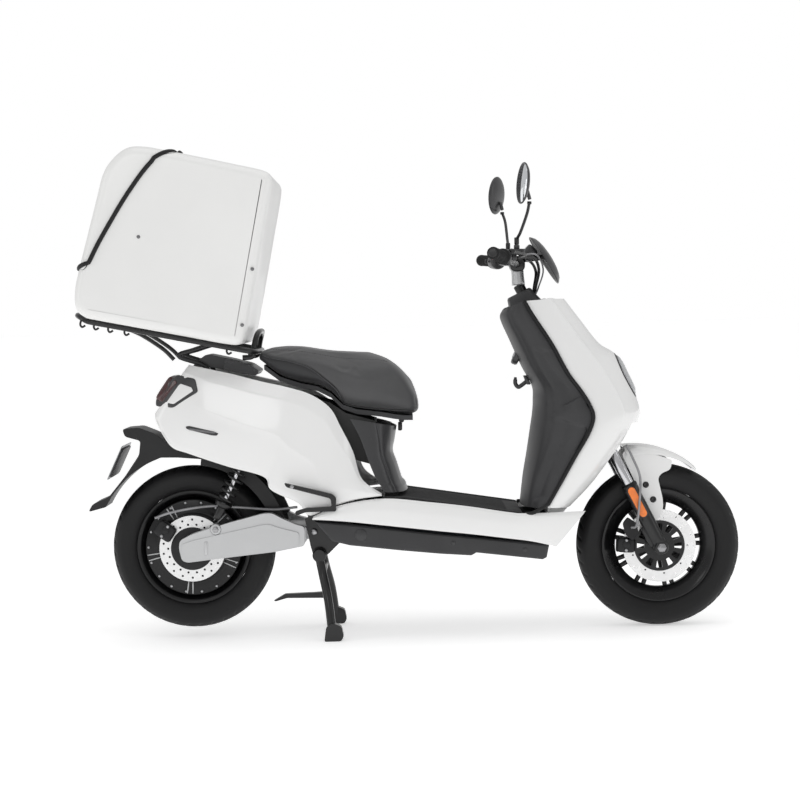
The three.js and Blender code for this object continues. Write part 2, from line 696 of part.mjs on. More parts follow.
// ---- inside the body ----------------------------------------------------------------------
const BUCKET_HALF = 97;
function storageBucket() {
  const outer = [[266, 684], [395, 648], [440, 618], [524, 596], [524, 470], [266, 540]];
  const inner = [[272, 720], [518, 640], [518, 476], [272, 547]];
  return cut(sidePlate(outer, -BUCKET_HALF, BUCKET_HALF), sidePlate(inner, 6 - BUCKET_HALF, BUCKET_HALF - 6));
}

const batteryPack = () => block(300, 190, 66, 660, 0, 308, 0.12);
const motorController = () => block(96, 120, 40, 896, 0, 278, 0.1);

// The welded steel frame: head tube, down tube, two floor rails, rear rails, cross tubes, and the
// plates that carry the swingarm, the stand and the footpegs.
const RAIL_R = 14;
const PLATE_IN = 66;
const PLATE_T = 8;
function mainFrame() {
  const tubes = [
    rod(onSteer(HEAD_LOW_Z), onSteer(HEAD_TOP_Z), HEAD_R, 20),
    tube([onSteer(700).add(v(-22, 0, -11)), v(1040, 0, 560), v(1006, 0, 430), v(1000, 0, 330)], 20, 8, 8),
    rod(v(1000, -128, 322), v(1000, 128, 322), 17, 8),
  ];
  for (const s of [-1, 1]) {
    tubes.push(tube([v(1000, s * 120, 322), v(860, s * 120, 312), v(560, s * 120, 342), v(455, s * 120, 378),
      v(370, s * 120, 470), v(250, s * 114, 600), v(140, s * 92, 676), v(46, s * 78, 700)], RAIL_R, 6, 14));
    const outline = [[320, 318], [420, 362], [452, 330], [420, 250], [392, 222], [372, 204], [346, 206], [336, 240],
      [330, 270]];
    const inward = s > 0 ? PLATE_IN : -PLATE_IN - PLATE_T;
    tubes.push(sidePlate(outline, inward, inward + PLATE_T));
    tubes.push(rod(v(436, s * PLATE_IN, 350), v(436, s * 122, 388), 10, 8));
    const shockStub = v(SHOCK_TOP.x, s * 78, SHOCK_TOP.z);
    tubes.push(rod(shockStub, shockStub.clone().setY(s * (SHOCK_Y - 14)), 9, 12));
    tubes.push(rod(v(SHOCK_TOP.x, s * 84, SHOCK_TOP.z), v(215, s * 104, 628), 9, 6));
  }
  tubes.push(rod(v(430, -PLATE_IN - 4, 340), v(430, PLATE_IN + 4, 340), 12, 8));
  tubes.push(rod(v(50, -84, 699), v(50, 84, 699), 10, 6));
  tubes.push(rod(v(250, -118, 600), v(250, 118, 600), 11, 6));
  const bore = rod(onSteer(HEAD_LOW_Z - 60), onSteer(HEAD_TOP_Z + 40), STEM_R + GAP, 20);
  const pivot = rod(v(PIVOT_X, -200, PIVOT_Z), v(PIVOT_X, 200, PIVOT_Z), 9 + GAP, 16);
  const stand = rod(v(STAND_X, -200, STAND_Z), v(STAND_X, 200, STAND_Z), 8 + GAP, 16);
  return cut(joined(...tubes), bore, pivot, stand);
}

// ---- rear suspension ----------------------------------------------------------------------
const SHOCK_TOP = v(178, 0, 546);
const SHOCK_LOW = v(72, 0, 318);
const SHOCK_Y = 118;

// Swingarm: two cast legs joined ahead of the tyre, with the pivot pin.
function swingarm() {
  const side = [[-32, 240], [-24, 206], [-8, 200], [63, 209], [242, 230], [322, 246], [322, 300], [298, 306],
    [262, 322], [230, 339], [205, 338], [114, 314], [4, 280], [-30, 262]];
  const leg = () => sidePlate(side, -ARM_HALF - ARM_T, -ARM_HALF, 4);
  const bridge = sidePlate([[264, 254], [326, 254], [326, 296], [270, 300]], -ARM_HALF - 4, ARM_HALF + 4);
  const nose = sidePlate([[316, 256], [PIVOT_X, 262], [PIVOT_X + 18, PIVOT_Z], [PIVOT_X, 300], [316, 296]],
    -PLATE_IN + 2, PLATE_IN - 2);
  const pin = rod(v(PIVOT_X, -PLATE_IN - 14, PIVOT_Z), v(PIVOT_X, PLATE_IN + 14, PIVOT_Z), 9, 16);
  const axle = rod(v(0, -ARM_HALF - ARM_T - 8, TYRE_R), v(0, ARM_HALF + ARM_T + 8, TYRE_R), AXLE_R, 16);
  const plates = [-1, 1].map((s) => sidePlate([[316, 240], [440, 240], [440, 330], [316, 330]],
    s > 0 ? PLATE_IN - GAP : -PLATE_IN - PLATE_T - GAP, s > 0 ? PLATE_IN + PLATE_T + GAP : -PLATE_IN + GAP));
  const ears = [-1, 1].map((s) => rod(v(SHOCK_LOW.x, s * (ARM_HALF + 4), SHOCK_LOW.z - 24),
    v(SHOCK_LOW.x, s * (ARM_HALF + ARM_T), SHOCK_LOW.z - 24), 16, 14));
  const body = cut(joined(leg(), mirrorY(leg()), bridge, nose, ...ears), ...plates);
  return joined(body, pin, axle);
}

const shockDir = SHOCK_LOW.clone().sub(SHOCK_TOP).normalize();
const alongShock = (d, y) => SHOCK_TOP.clone().addScaledVector(shockDir, d).add(v(0, y, 0));
const SHOCK_LEN = SHOCK_TOP.distanceTo(SHOCK_LOW);

function shockCylinder() {
  const y = -SHOCK_Y;
  const eye = rod(v(SHOCK_TOP.x, y - 12, SHOCK_TOP.z), v(SHOCK_TOP.x, y + 12, SHOCK_TOP.z), 15, 16);
  const body = rod(alongShock(12, y), alongShock(92, y), 20, 16);
  const hole = rod(alongShock(40, y), alongShock(110, y), 7.5, 12);
  const socket = rod(v(SHOCK_TOP.x, y - 30, SHOCK_TOP.z), v(SHOCK_TOP.x, y + 30, SHOCK_TOP.z), 6, 12);
  return cut(joined(eye, body), hole, socket);
}

function shockRod() {
  const y = -SHOCK_Y;
  const shaft = rod(alongShock(68, y), alongShock(SHOCK_LEN - 4, y), 6.5, 12);
  const seat = rod(alongShock(SHOCK_LEN - 58, y), alongShock(SHOCK_LEN - 44, y), 25, 18);
  const fork = rod(alongShock(SHOCK_LEN - 50, y), alongShock(SHOCK_LEN - 6, y), 13, 14);
  const armRoom = rod(v(SHOCK_LOW.x, y - 40, SHOCK_LOW.z - 24), v(SHOCK_LOW.x, y + 40, SHOCK_LOW.z - 24), 21, 16);
  return cut(joined(shaft, seat, fork), armRoom);
}

// ---- centre stand -------------------------------------------------------------------------
const groundAt = (x) =>
  TYRE_R + (-TYRE_R + (x - WHEELBASE) * Math.sin(STAND_PITCH)) / Math.cos(STAND_PITCH);

function centreStand() {
  const footX = 404;
  const footY = 150;
  const pieces = [rod(v(STAND_X, -PLATE_IN - 20, STAND_Z), v(STAND_X, PLATE_IN + 20, STAND_Z), 8, 16)];
  for (const s of [-1, 1]) {
    const top = v(STAND_X - 2, s * (PLATE_IN + 22), STAND_Z);
    const foot = v(footX - 4, s * footY, groundAt(footX) + 14);
    pieces.push(rod(v(STAND_X, s * (PLATE_IN + PLATE_T + 6), STAND_Z), v(STAND_X, s * (PLATE_IN + 38), STAND_Z), 20, 16));
    pieces.push(rod(top, foot, 13, 12));
    pieces.push(sidePlate([[footX - 28, groundAt(footX - 28)], [footX + 20, groundAt(footX + 20)],
      [footX + 28, groundAt(footX) + 14], [footX + 22, groundAt(footX) + 44], [footX - 4, groundAt(footX) + 52],
      [footX - 24, groundAt(footX) + 40]], s * footY - 14, s * footY + 14));
  }
  pieces.push(rod(v(372, -98, 168), v(372, 98, 168), 9, 12));
  const leverOut = sidePlate([[392, 80], [340, 76], [250, 72], [216, 52], [222, 50], [256, 60], [392, 60]], 128, 150);
  pieces.push(leverOut);
  return joined(...pieces);
}

// ---- tail ---------------------------------------------------------------------------------
function tailCover() {
  const cover = sidePlate([[4, 750], [20, 768], [46, 786], [114, 772], [168, 758], [196, 738], [186, 724],
    [120, 738], [60, 748]], -88, 88, 5);
  return cut(cover, ...[-1, 1].map((s) => block(90, 34, 110, 48, s * 84, 760)));
}

// The opening in each rear panel that the tail lamp shows through.
const tailLightHole = () => sidePlate([[-100, 639], [-42, 639], [29, 683], [21, 719], [-37, 729], [-47, 716]], -129, -59);

// Tail lamp: a lens on each rear corner, joined across the tail.
function tailLight() {
  const bridge = sidePlate([[-92, 646], [-50, 646], [-20, 722], [-38, 722]], -64, 64);
  const halves = [-1, 1].map((s) => {
    const g = sidePlate([[-96, 642], [-44, 642], [24, 685], [17, 715], [-34, 724], [-44, 714]], -122, -60);
    return s < 0 ? g : mirrorY(g);
  });
  return joined(bridge, ...halves);
}

// Rear mudguard: the arch under the body and the bracket for the number plate, one moulding.
function rearMudguard() {
  const outline = [[-197, 574], [-150, 578], [-104, 560], [-64, 528], [-20, 518], [44, 524], [44, 486], [-40, 492],
    [-92, 492], [-144, 448], [-208, 386], [-244, 352], [-296, 338], [-284, 360], [-238, 380], [-190, 440],
    [-150, 500], [-146, 540], [-190, 552]];
  const arch = (s, t) => {
    const a = ((20 + 64 * s) * Math.PI) / 180;
    const r = TYRE_R + 38 + 22 * Math.sin(Math.PI * t);
    return v(r * Math.cos(a), (t - 0.5) * 132, TYRE_R + r * Math.sin(a));
  };
  const skin = sheet(arch, 8, 5, 4, (p) => v(p.x, 0, p.z - TYRE_R));
  const room = turned([[0, -70], [TYRE_R + 36, -70], [TYRE_R + 36, 70], [0, 70]], 0, TYRE_R, 36);
  return joined(cut(sidePlate(outline, -58, 58, 3), room), skin);
}

// ---- rack and delivery box ----------------------------------------------------------------
// The box's own frame: u forward along its floor, w up from it.
const boxPoint = (u, w, y = 0) =>
  v(BOX_X + u * Math.cos(BOX_TILT) + w * Math.sin(BOX_TILT), y, BOX_Z - u * Math.sin(BOX_TILT) + w * Math.cos(BOX_TILT));
const toBox = (g) => g.rotateY(BOX_TILT).translate(BOX_X, 0, BOX_Z);

function boxOutline(inset) {
  const l = BOX_L - 38;
  const shape = new THREE.Shape();
  shape.moveTo(4 + inset, inset);
  shape.lineTo(l - 4 - inset, inset);
  shape.lineTo(l - inset, BOX_H - 34 - inset);
  shape.quadraticCurveTo(l - inset, BOX_H - 6 - inset, l - 30 - inset, BOX_H - 5 - inset);
  shape.lineTo(80, BOX_H - inset);
  shape.bezierCurveTo(20 + inset, BOX_H - 2 - inset, -8 + inset, BOX_H - 60, -18 + inset, BOX_H - 90);
  shape.lineTo(-38 + inset, 84);
  shape.bezierCurveTo(-40 + inset, 30, -34 + inset, 12 + inset, 4 + inset, inset);
  return shape;
}

function boxBlock(inset, bevel) {
  const g = new THREE.ExtrudeGeometry(boxOutline(inset + bevel), {
    depth: BOX_W - 2 * inset - 2 * bevel,
    bevelEnabled: true,
    bevelSize: bevel,
    bevelThickness: bevel,
    bevelSegments: 2,
    curveSegments: 4,
  });
  return g.rotateX(Math.PI / 2).translate(0, BOX_W / 2 - inset - bevel, 0);
}

// The seam between box and lid, from the rear wall up to the hinge line on top.
const SEAM = [[-80, 126], [-36, 130], [-15, 139], [11, 221], [64, 362], [118, 463], [178, 500], [186, 560]];

function lidRegion(shift) {
  const seam = new THREE.SplineCurve(SEAM.map(([u, w]) => new THREE.Vector2(u - shift, w + shift * 0.4))).getPoints(28);
  const shape = new THREE.Shape([...seam, new THREE.Vector2(-120, 560)]);
  const g = new THREE.ExtrudeGeometry(shape, { depth: BOX_W + 60, bevelEnabled: false });
  return g.rotateX(Math.PI / 2).translate(0, BOX_W / 2 + 30, 0);
}

const hollowBox = () => cut(boxBlock(0, 22), boxBlock(BOX_WALL, 18));
const boxShell = () => toBox(geometryOf(solid(hollowBox()).subtract(solid(lidRegion(-1)))));
const boxLid = () => toBox(geometryOf(solid(hollowBox()).intersect(solid(lidRegion(1)))));

// The carrier: an outer loop under the box, cross tubes, braces to the frame and the backstop hoop.
function carrierRack() {
  const lift = -RACK_R - 1;
  const half = 168;
  const pieces = [];
  for (const s of [-1, 1]) {
    pieces.push(rod(boxPoint(-32, lift, s * half), boxPoint(476, lift, s * half), RACK_R, 8));
    pieces.push(tube([boxPoint(348, lift - 2, s * 78), boxPoint(300, lift - 28, s * 78), boxPoint(262, -62, s * 80),
      v(42, s * 78, 752), v(50, s * 78, 714)], 7, 6, 8));
    pieces.push(tube([boxPoint(100, lift - 2, s * 78), boxPoint(150, lift - 14, s * 78), boxPoint(214, -50, s * 78),
      boxPoint(250, -74, s * 78)], 6, 6, 5));
  }
  for (const u of [-24, 100, 224, 348, 468]) {
    pieces.push(rod(boxPoint(u, lift, -half), boxPoint(u, lift, half), RACK_R - 0.6, 8));
  }
  const hoop = [v(180, -96, 788), v(184, -96, 815), v(191, -84, 840), v(194, -54, 848), v(194, 54, 848),
    v(191, 84, 840), v(184, 96, 815), v(180, 96, 788)];
  pieces.push(tube(hoop, 8, 6, 14));
  return joined(...pieces);
}

// ---- footpegs, hooks, buttons, hoses ------------------------------------------------------
const PEG_Y = -192; // inner face of the folded peg
const PEG_T = 13;
function footpeg() {
  const loop = [[270, 432], [276, 420], [352, 400], [398, 388], [402, 366], [330, 362], [300, 352], [302, 340], [330, 350],
    [414, 352], [414, 390], [404, 400], [356, 412]];
  return sidePlate(loop, PEG_Y - PEG_T, PEG_Y);
}

const HOOK = { x: 957, z: 700 };
function bagHook() {
  return joined(
    sidePlate([[HOOK.x - 6, HOOK.z - 6], [HOOK.x + 9, HOOK.z - 6], [HOOK.x - 1, HOOK.z + 18],
      [HOOK.x - 12, HOOK.z + 18]], -14, 14),
    tube([v(HOOK.x - 2, 0, HOOK.z + 2), v(HOOK.x - 24, 0, HOOK.z - 14), v(HOOK.x - 34, 0, HOOK.z - 4),
      v(HOOK.x - 34, 0, HOOK.z + 14)], 6, 8, 10),
  );
}

function button(s) {
  const c = onBar(s, GRIP_IN - 20);
  return rod(v(c.x - 28, c.y, c.z), v(c.x - 33, c.y, c.z), 7, 12);
}

function frontHose() {
  const y = -FORK_HALF - 26;
  return tube([onLeg(505, 44, y + 12), onLeg(470, 42, y + 2), onLeg(420, 36, y - 4), onLeg(370, 6, y - 8),
    onLeg(316, -34, y - 6), v(1243, y + 3, 291)], 4, 6, 14);
}

function rearHose() {
  const y = -ARM_HALF + 8;
  return tube([v(-104, y + 4, 322), v(-66, y, 336), v(-10, y, 348), v(60, y, 356), v(140, y, 352),
    v(230, y, 346), v(300, y, 352)], 4, 6, 14);
}

// ---- assembly -----------------------------------------------------------------------------
function bodywork() {
  return [
    part("front_apron", frontApron(), WHITE),
    part("headlight_lens", headlightLens(), CLEAR_LENS),
    part("inner_leg_shield", innerShield(), BLACK_PLASTIC),
    part("column_cover", columnCover(), BLACK_PLASTIC),
    part("floor_mat", floorMat(), RUBBER),
    ...pair("side_skirt", sideSkirt, WHITE),
    part("belly_pan", bellyPan(), BLACK_PLASTIC),
    ...pair("rear_body", () => cut(rearBody(), tailLightHole()), WHITE),
    part("seat_pedestal", seatPedestal(), BLACK_PLASTIC),
    part("tail_cover", tailCover(), BLACK_PLASTIC),
    part("tail_light", tailLight(), RED_LENS),
    part("rear_mudguard", rearMudguard(), BLACK_PLASTIC),
  ];
}

function chassis() {
  return [
    part("main_frame", mainFrame(), BLACK_STEEL),
    part("battery_pack", batteryPack(), BLACK_PLASTIC),
    part("motor_controller", motorController(), SILVER),
    part("storage_bucket", storageBucket(), BLACK_PLASTIC),
    part("carrier_rack", carrierRack(), BLACK_STEEL),
    part("box_shell", boxShell(), WHITE),
    part("box_lid", boxLid(), WHITE),
    part("seat_base", seatBase(), BLACK_PLASTIC),
    part("seat_cushion", seatCushion(), VINYL),
    part("bag_hook", bagHook(), BLACK_PLASTIC),
    ...pair("footpeg", footpeg, BLACK_STEEL),
    part("centre_stand", centreStand(), BLACK_STEEL),
  ];
}

function rearEnd() {
  return [
    part("swingarm", swingarm(), SILVER),
    part("rear_hub_motor", hubMotor(), BLACK_STEEL),
    part("rear_tyre", tyre(0), RUBBER),
    part("rear_disc", rearDisc(), STEEL),
    part("rear_caliper", caliper(0, REAR_DISC_Y, REAR_DISC_R, (146 * Math.PI) / 180, 56), BLACK_STEEL),
    part("rear_brake_hose", rearHose(), RUBBER),
    ...pair("shock_cylinder", shockCylinder, BLACK_STEEL),
    ...pair("shock_rod", shockRod, STEEL),
  ];
}

function frontEnd() {
  return [
    part("fork_yoke", forkYoke(), STEEL),
    part("fork_lower_right", forkLower(-1), BLACK_STEEL),
    part("fork_lower_left", forkLower(1), BLACK_STEEL),
    part("front_fender", frontFender(), WHITE),
    part("front_rim", frontRim(), BLACK_STEEL),
    part("front_tyre", tyre(WHEELBASE), RUBBER),
    part("front_disc", frontDisc(), STEEL),
    part("front_caliper", caliper(WHEELBASE, FRONT_DISC_Y, FRONT_DISC_R, (178 * Math.PI) / 180, 52), BLACK_STEEL),
    part("front_brake_hose", frontHose(), RUBBER),
    part("handlebar", handlebar(), BLACK_STEEL),
    part("throttle_grip", grip(-1), RUBBER),
    part("left_grip", grip(1), RUBBER),
    part("switch_housing_right", switchHousing(-1), BLACK_PLASTIC),
    part("switch_housing_left", switchHousing(1), BLACK_PLASTIC),
    part("brake_lever_right", brakeLever(-1), BLACK_STEEL),
    part("brake_lever_left", brakeLever(1), BLACK_STEEL),
    part("start_button", button(-1), RED_LENS),
    part("horn_button", button(1), BLACK_PLASTIC),
    part("mirror_stem_right", mirrorStem(-1, MIRROR.right), BLACK_STEEL),
    part("mirror_stem_left", mirrorStem(1, MIRROR.left), BLACK_STEEL),
    part("mirror_head_right", mirrorHead(-1, MIRROR.right), BLACK_PLASTIC),
    part("mirror_head_left", mirrorHead(1, MIRROR.left), BLACK_PLASTIC),
    part("fly_screen", flyScreen(), BLACK_PLASTIC),
  ];
}

// Pitch about the front axle, then stand the whole on the ground with the origin under its middle.
function onItsStand(pieces) {
  const level = new THREE.Group();
  level.add(...pieces);
  level.position.set(-WHEELBASE, 0, -TYRE_R);
  const pitched = new THREE.Group();
  pitched.add(level);
  pitched.rotation.y = STAND_PITCH;
  const standing = new THREE.Group();
  standing.add(pitched);
  standing.updateMatrixWorld(true);
  const extent = new THREE.Box3().setFromObject(standing, true);
  const middle = extent.getCenter(new THREE.Vector3());
  pitched.position.set(-middle.x, -middle.y, -extent.min.z);
  return standing;
}

export default onItsStand([...bodywork(), ...chassis(), ...rearEnd(), ...frontEnd()]);
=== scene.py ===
# %% [markdown]
# # A moped scooter with a delivery box
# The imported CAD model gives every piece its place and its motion. This notebook dresses it: each
# visible piece is worked out again as a smooth surface with numpy, rides on the CAD body that it
# belongs to, and gets a finish made of shader nodes. All of it is in metres.

# %% Load the frame
import math
import bpy
import numpy as np
from mathutils import Matrix, Vector


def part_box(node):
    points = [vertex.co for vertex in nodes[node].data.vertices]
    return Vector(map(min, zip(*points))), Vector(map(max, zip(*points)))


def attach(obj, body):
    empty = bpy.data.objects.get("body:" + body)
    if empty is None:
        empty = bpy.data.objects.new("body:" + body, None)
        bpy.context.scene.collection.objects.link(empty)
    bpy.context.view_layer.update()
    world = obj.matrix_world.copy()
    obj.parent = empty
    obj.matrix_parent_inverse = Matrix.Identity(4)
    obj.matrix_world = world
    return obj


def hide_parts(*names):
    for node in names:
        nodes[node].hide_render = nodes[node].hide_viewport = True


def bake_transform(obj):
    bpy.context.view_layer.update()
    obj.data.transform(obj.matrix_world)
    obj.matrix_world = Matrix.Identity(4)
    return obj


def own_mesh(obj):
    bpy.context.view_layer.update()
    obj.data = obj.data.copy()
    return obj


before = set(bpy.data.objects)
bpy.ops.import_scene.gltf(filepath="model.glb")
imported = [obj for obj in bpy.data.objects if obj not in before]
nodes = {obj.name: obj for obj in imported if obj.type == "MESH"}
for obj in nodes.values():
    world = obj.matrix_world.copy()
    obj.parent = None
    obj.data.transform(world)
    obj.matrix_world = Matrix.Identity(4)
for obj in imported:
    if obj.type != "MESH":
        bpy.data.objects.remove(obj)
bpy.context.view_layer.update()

# %% [markdown]
# The scooter is easiest to describe level, in millimetres: x forward from the rear axle, y to the
# rider's left, z up from the line under both tyres. On its centre stand it leans nose-down by a
# degree, about the front axle. Both axles are read from the frame, so the lean is never guessed.

# %% From the level drawing to the standing scooter
WHEELBASE = 1330.0
TYRE_R = 233.0
FRONT_HUB = np.array([WHEELBASE, 0, TYRE_R])
REAR_HUB = np.array([0, 0, TYRE_R])


def middle(node):
    lo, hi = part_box(node)
    return np.array((lo + hi) / 2)


front_axle = middle("front_tyre")
rear_axle = middle("rear_tyre")
LEAN = math.atan2(rear_axle[2] - front_axle[2], front_axle[0] - rear_axle[0])
TURN = np.array([[math.cos(LEAN), 0, math.sin(LEAN)], [0, 1, 0], [-math.sin(LEAN), 0, math.cos(LEAN)]])


def place(p):
    """Level millimetres to metres in the frame: turn by the lean about the front axle."""
    d = (np.asarray(p, float) - FRONT_HUB) / 1000
    return d @ TURN.T + front_axle


print("lean", round(math.degrees(LEAN), 2), "degrees, wheelbase",
      round(float(np.linalg.norm(front_axle - rear_axle)) * 1000), "mm")

# %% [markdown]
# ## Small tools
# Nearly everything is one of four kinds of surface: a grid over two parameters, a profile spun
# round an axle, a section carried along a path, or a flat plate cut from an outline. Each tool
# works on whole numpy arrays and ends in `build`, which hands vertices and faces to Blender.

# %% Meshes from arrays
X, Y, Z = np.eye(3)
SIDES = ((-1, "right"), (1, "left"))
made = []


def build(name, verts, faces, material, body, smooth=True, at_rest=True):
    """One mesh object from level-frame points; it sits at the origin and rides on a body."""
    mesh = bpy.data.meshes.new(name)
    pts = place(verts) if at_rest else np.asarray(verts, float)
    mesh.from_pydata(pts.tolist(), [], [list(map(int, f)) for f in faces])
    mesh.polygons.foreach_set("use_smooth", np.full(len(mesh.polygons), smooth))
    mesh.materials.append(material)
    mesh.update()
    obj = bpy.data.objects.new(name, mesh)
    bpy.context.scene.collection.objects.link(obj)
    if body:
        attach(obj, body)
    made.append(obj)
    return obj


def quads(rows, cols, wrap_rows=False, wrap_cols=False, start=0):
    """The four-cornered faces of a grid of points that are numbered row by row."""
    i, j = np.meshgrid(np.arange(rows - (not wrap_rows)), np.arange(cols - (not wrap_cols)), indexing="ij")
    i2, j2 = (i + 1) % rows, (j + 1) % cols
    f = np.stack([i * cols + j, i2 * cols + j, i2 * cols + j2, i * cols + j2], -1)
    return f.reshape(-1, 4) + start


def outward(verts, faces):
    """Flips every face if the closed shape's signed volume is negative."""
    total = 0.0
    for f in faces:
        p = verts[np.asarray(f)]
        for k in range(1, len(f) - 1):
            total += np.dot(p[0], np.cross(p[k], p[k + 1]))
    return [f[::-1] for f in faces] if total < 0 else faces


def closed_grid(points, wrap_cols=True, fan=True):
    """A tube-like grid (rows of rings) with a fan, or one flat face, over each end ring."""
    rows, cols, _ = points.shape
    verts = points.reshape(-1, 3)
    faces = quads(rows, cols, False, wrap_cols).tolist()
    if not fan:
        return verts, faces + [list(range(cols)), list(range(len(verts) - cols, len(verts)))[::-1]]
    ends = [points[0].mean(0), points[-1].mean(0)]
    a = len(verts)
    verts = np.vstack([verts, ends])
    for j in range(cols):
        k = (j + 1) % cols
        faces.append([a, j, k])
        faces.append([a + 1, (rows - 1) * cols + k, (rows - 1) * cols + j])
    return verts, faces


def merge(*shapes):
    """Several (verts, faces) as one."""
    verts, faces, n = [], [], 0
    for v, f in shapes:
        verts.append(np.asarray(v, float))
        faces += [[i + n for i in q] for q in (f.tolist() if hasattr(f, "tolist") else f)]
        n += len(v)
    return np.vstack(verts), faces


def solid(shape):
    v, f = shape
    return v, outward(v, f)


# %% Curves
def smooth(points, n, closed=False):
    """Catmull-Rom: each piece is a cubic whose slope at a point is half the step across it."""
    p = np.asarray(points, float)
    if closed:
        p = np.vstack([p[-1], p, p[0], p[1]])
    else:
        p = np.vstack([2 * p[0] - p[1], p, 2 * p[-1] - p[-2]])
    m = len(p) - 3
    t = np.linspace(0, m, n, endpoint=not closed)
    i = np.minimum(t.astype(int), m - 1)
    f = (t - i)[:, None]
    a, b, c, d = p[i], p[i + 1], p[i + 2], p[i + 3]
    return b + 0.5 * f * (c - a + f * (2 * a - 5 * b + 4 * c - d + f * (3 * (b - c) + d - a)))


def rows_at(rows, u):
    """Smooth interpolation of rows of numbers, with row 0 at u = 0 and the last at u = 1."""
    r = np.asarray(rows, float)
    last = len(r) - 1
    t = np.clip(np.asarray(u, float), 0, 1) * last
    i = np.minimum(t.astype(int), last - 1)
    f = (t - i)[..., None]
    a, b, c, d = r[np.maximum(i - 1, 0)], r[i], r[i + 1], r[np.minimum(i + 2, last)]
    m0, m1, h = (c - a) / 2, (d - b) / 2, c - b
    return b + f * (m0 + f * (3 * h - 2 * m0 - m1 + f * (m0 + m1 - 2 * h)))


def frames(path):
    """Two unit vectors across the path at each point, carried along so that they never twist."""
    d = np.gradient(path, axis=0)
    d /= np.linalg.norm(d, axis=1)[:, None]
    side = np.cross(d[0], Z if abs(d[0][2]) < 0.9 else X)
    out = []
    for t in d:
        side = side - t * np.dot(side, t)
        side /= np.linalg.norm(side)
        out.append(side)
    n = np.array(out)
    return n, np.cross(d, n)


def swept(path, radius, sides=14, flat=1.0):
    """A round section carried along a path: centre + r(cos a · n + flat · sin a · b)."""
    path = np.asarray(path, float)
    n, b = frames(path)
    a = np.linspace(0, 2 * np.pi, sides, endpoint=False)
    r = np.broadcast_to(np.asarray(radius, float), (len(path),))[:, None, None]
    ring = np.cos(a)[None, :, None] * n[:, None] + flat * np.sin(a)[None, :, None] * b[:, None]
    return solid(closed_grid(path[:, None] + r * ring))


def rod(p, q, r, sides=20, ease=0.18):
    """A straight round bar with a small rounded edge at each end."""
    p, q = np.asarray(p, float), np.asarray(q, float)
    length = np.linalg.norm(q - p)
    e = min(ease * r, length / 3) / length
    path = p + (q - p) * np.array([0, 0.001, e, 0.5, 1 - e, 0.999, 1])[:, None]
    return swept(path, r * np.array([1 - ease * 1.1, 1 - ease, 1, 1, 1, 1 - ease, 1 - ease * 1.1]), sides)


def spun(profile, centre, axis=Y, segments=64, warp=None):
    """Profile points (radius, along) spun round an axis; rings of the closed section."""
    p = np.asarray(profile, float)
    a = np.linspace(0, 2 * np.pi, segments, endpoint=False)
    side = np.cross(axis, Z if abs(axis[2]) < 0.9 else X)
    side /= np.linalg.norm(side)
    up = np.cross(axis, side)
    ring = np.cos(a)[:, None] * side + np.sin(a)[:, None] * up
    r, h = p[None, :, 0], p[None, :, 1]
    if warp is not None:
        r, h = warp(a[:, None], r, h)
    pts = np.asarray(centre, float) + r[..., None] * ring[:, None] + h[..., None] * np.asarray(axis, float)
    return pts


def ring_solid(profile, centre, axis=Y, segments=64, warp=None):
    """A closed profile spun right round, as a doughnut-like solid."""
    pts = spun(profile, centre, axis, segments, warp)
    v = pts.reshape(-1, 3)
    return solid((v, quads(pts.shape[0], pts.shape[1], True, True).tolist()))


def dome(profile, centre, axis=Y, segments=40):
    """A profile from the axis out and back to the axis, spun into a closed body."""
    p = np.asarray(profile, float)
    inner = p[(p[:, 0] > 1e-6)]
    pts = spun(inner, centre, axis, segments).transpose(1, 0, 2)
    v, f = closed_grid(pts)
    v[-2] = np.asarray(centre) + p[0][1] * np.asarray(axis)
    v[-1] = np.asarray(centre) + p[-1][1] * np.asarray(axis)
    return solid((v, f))


def outline(points, radius=0, steps=5):
    """A polygon with each corner replaced by a short curve that starts `radius` away from it."""
    p = np.asarray(points, float)
    if radius <= 0:
        return p
    out = []
    for k in range(len(p)):
        a, b, c = p[k - 1], p[k], p[(k + 1) % len(p)]
        ra = min(radius, np.linalg.norm(a - b) * 0.45)
        rc = min(radius, np.linalg.norm(c - b) * 0.45)
        s, e = b + (a - b) / np.linalg.norm(a - b) * ra, b + (c - b) / np.linalg.norm(c - b) * rc
        t = np.linspace(0, 1, steps)[:, None]
        out.append((1 - t) ** 2 * s + 2 * t * (1 - t) * b + t ** 2 * e)
    return np.vstack(out)


def soften(obj, width, angle):
    """Rounds the edges sharper than an angle in degrees, by a width in millimetres."""
    edge = obj.modifiers.new("edge", "BEVEL")
    edge.width, edge.segments = width / 1000, 2
    edge.limit_method, edge.angle_limit = "ANGLE", math.radians(angle)


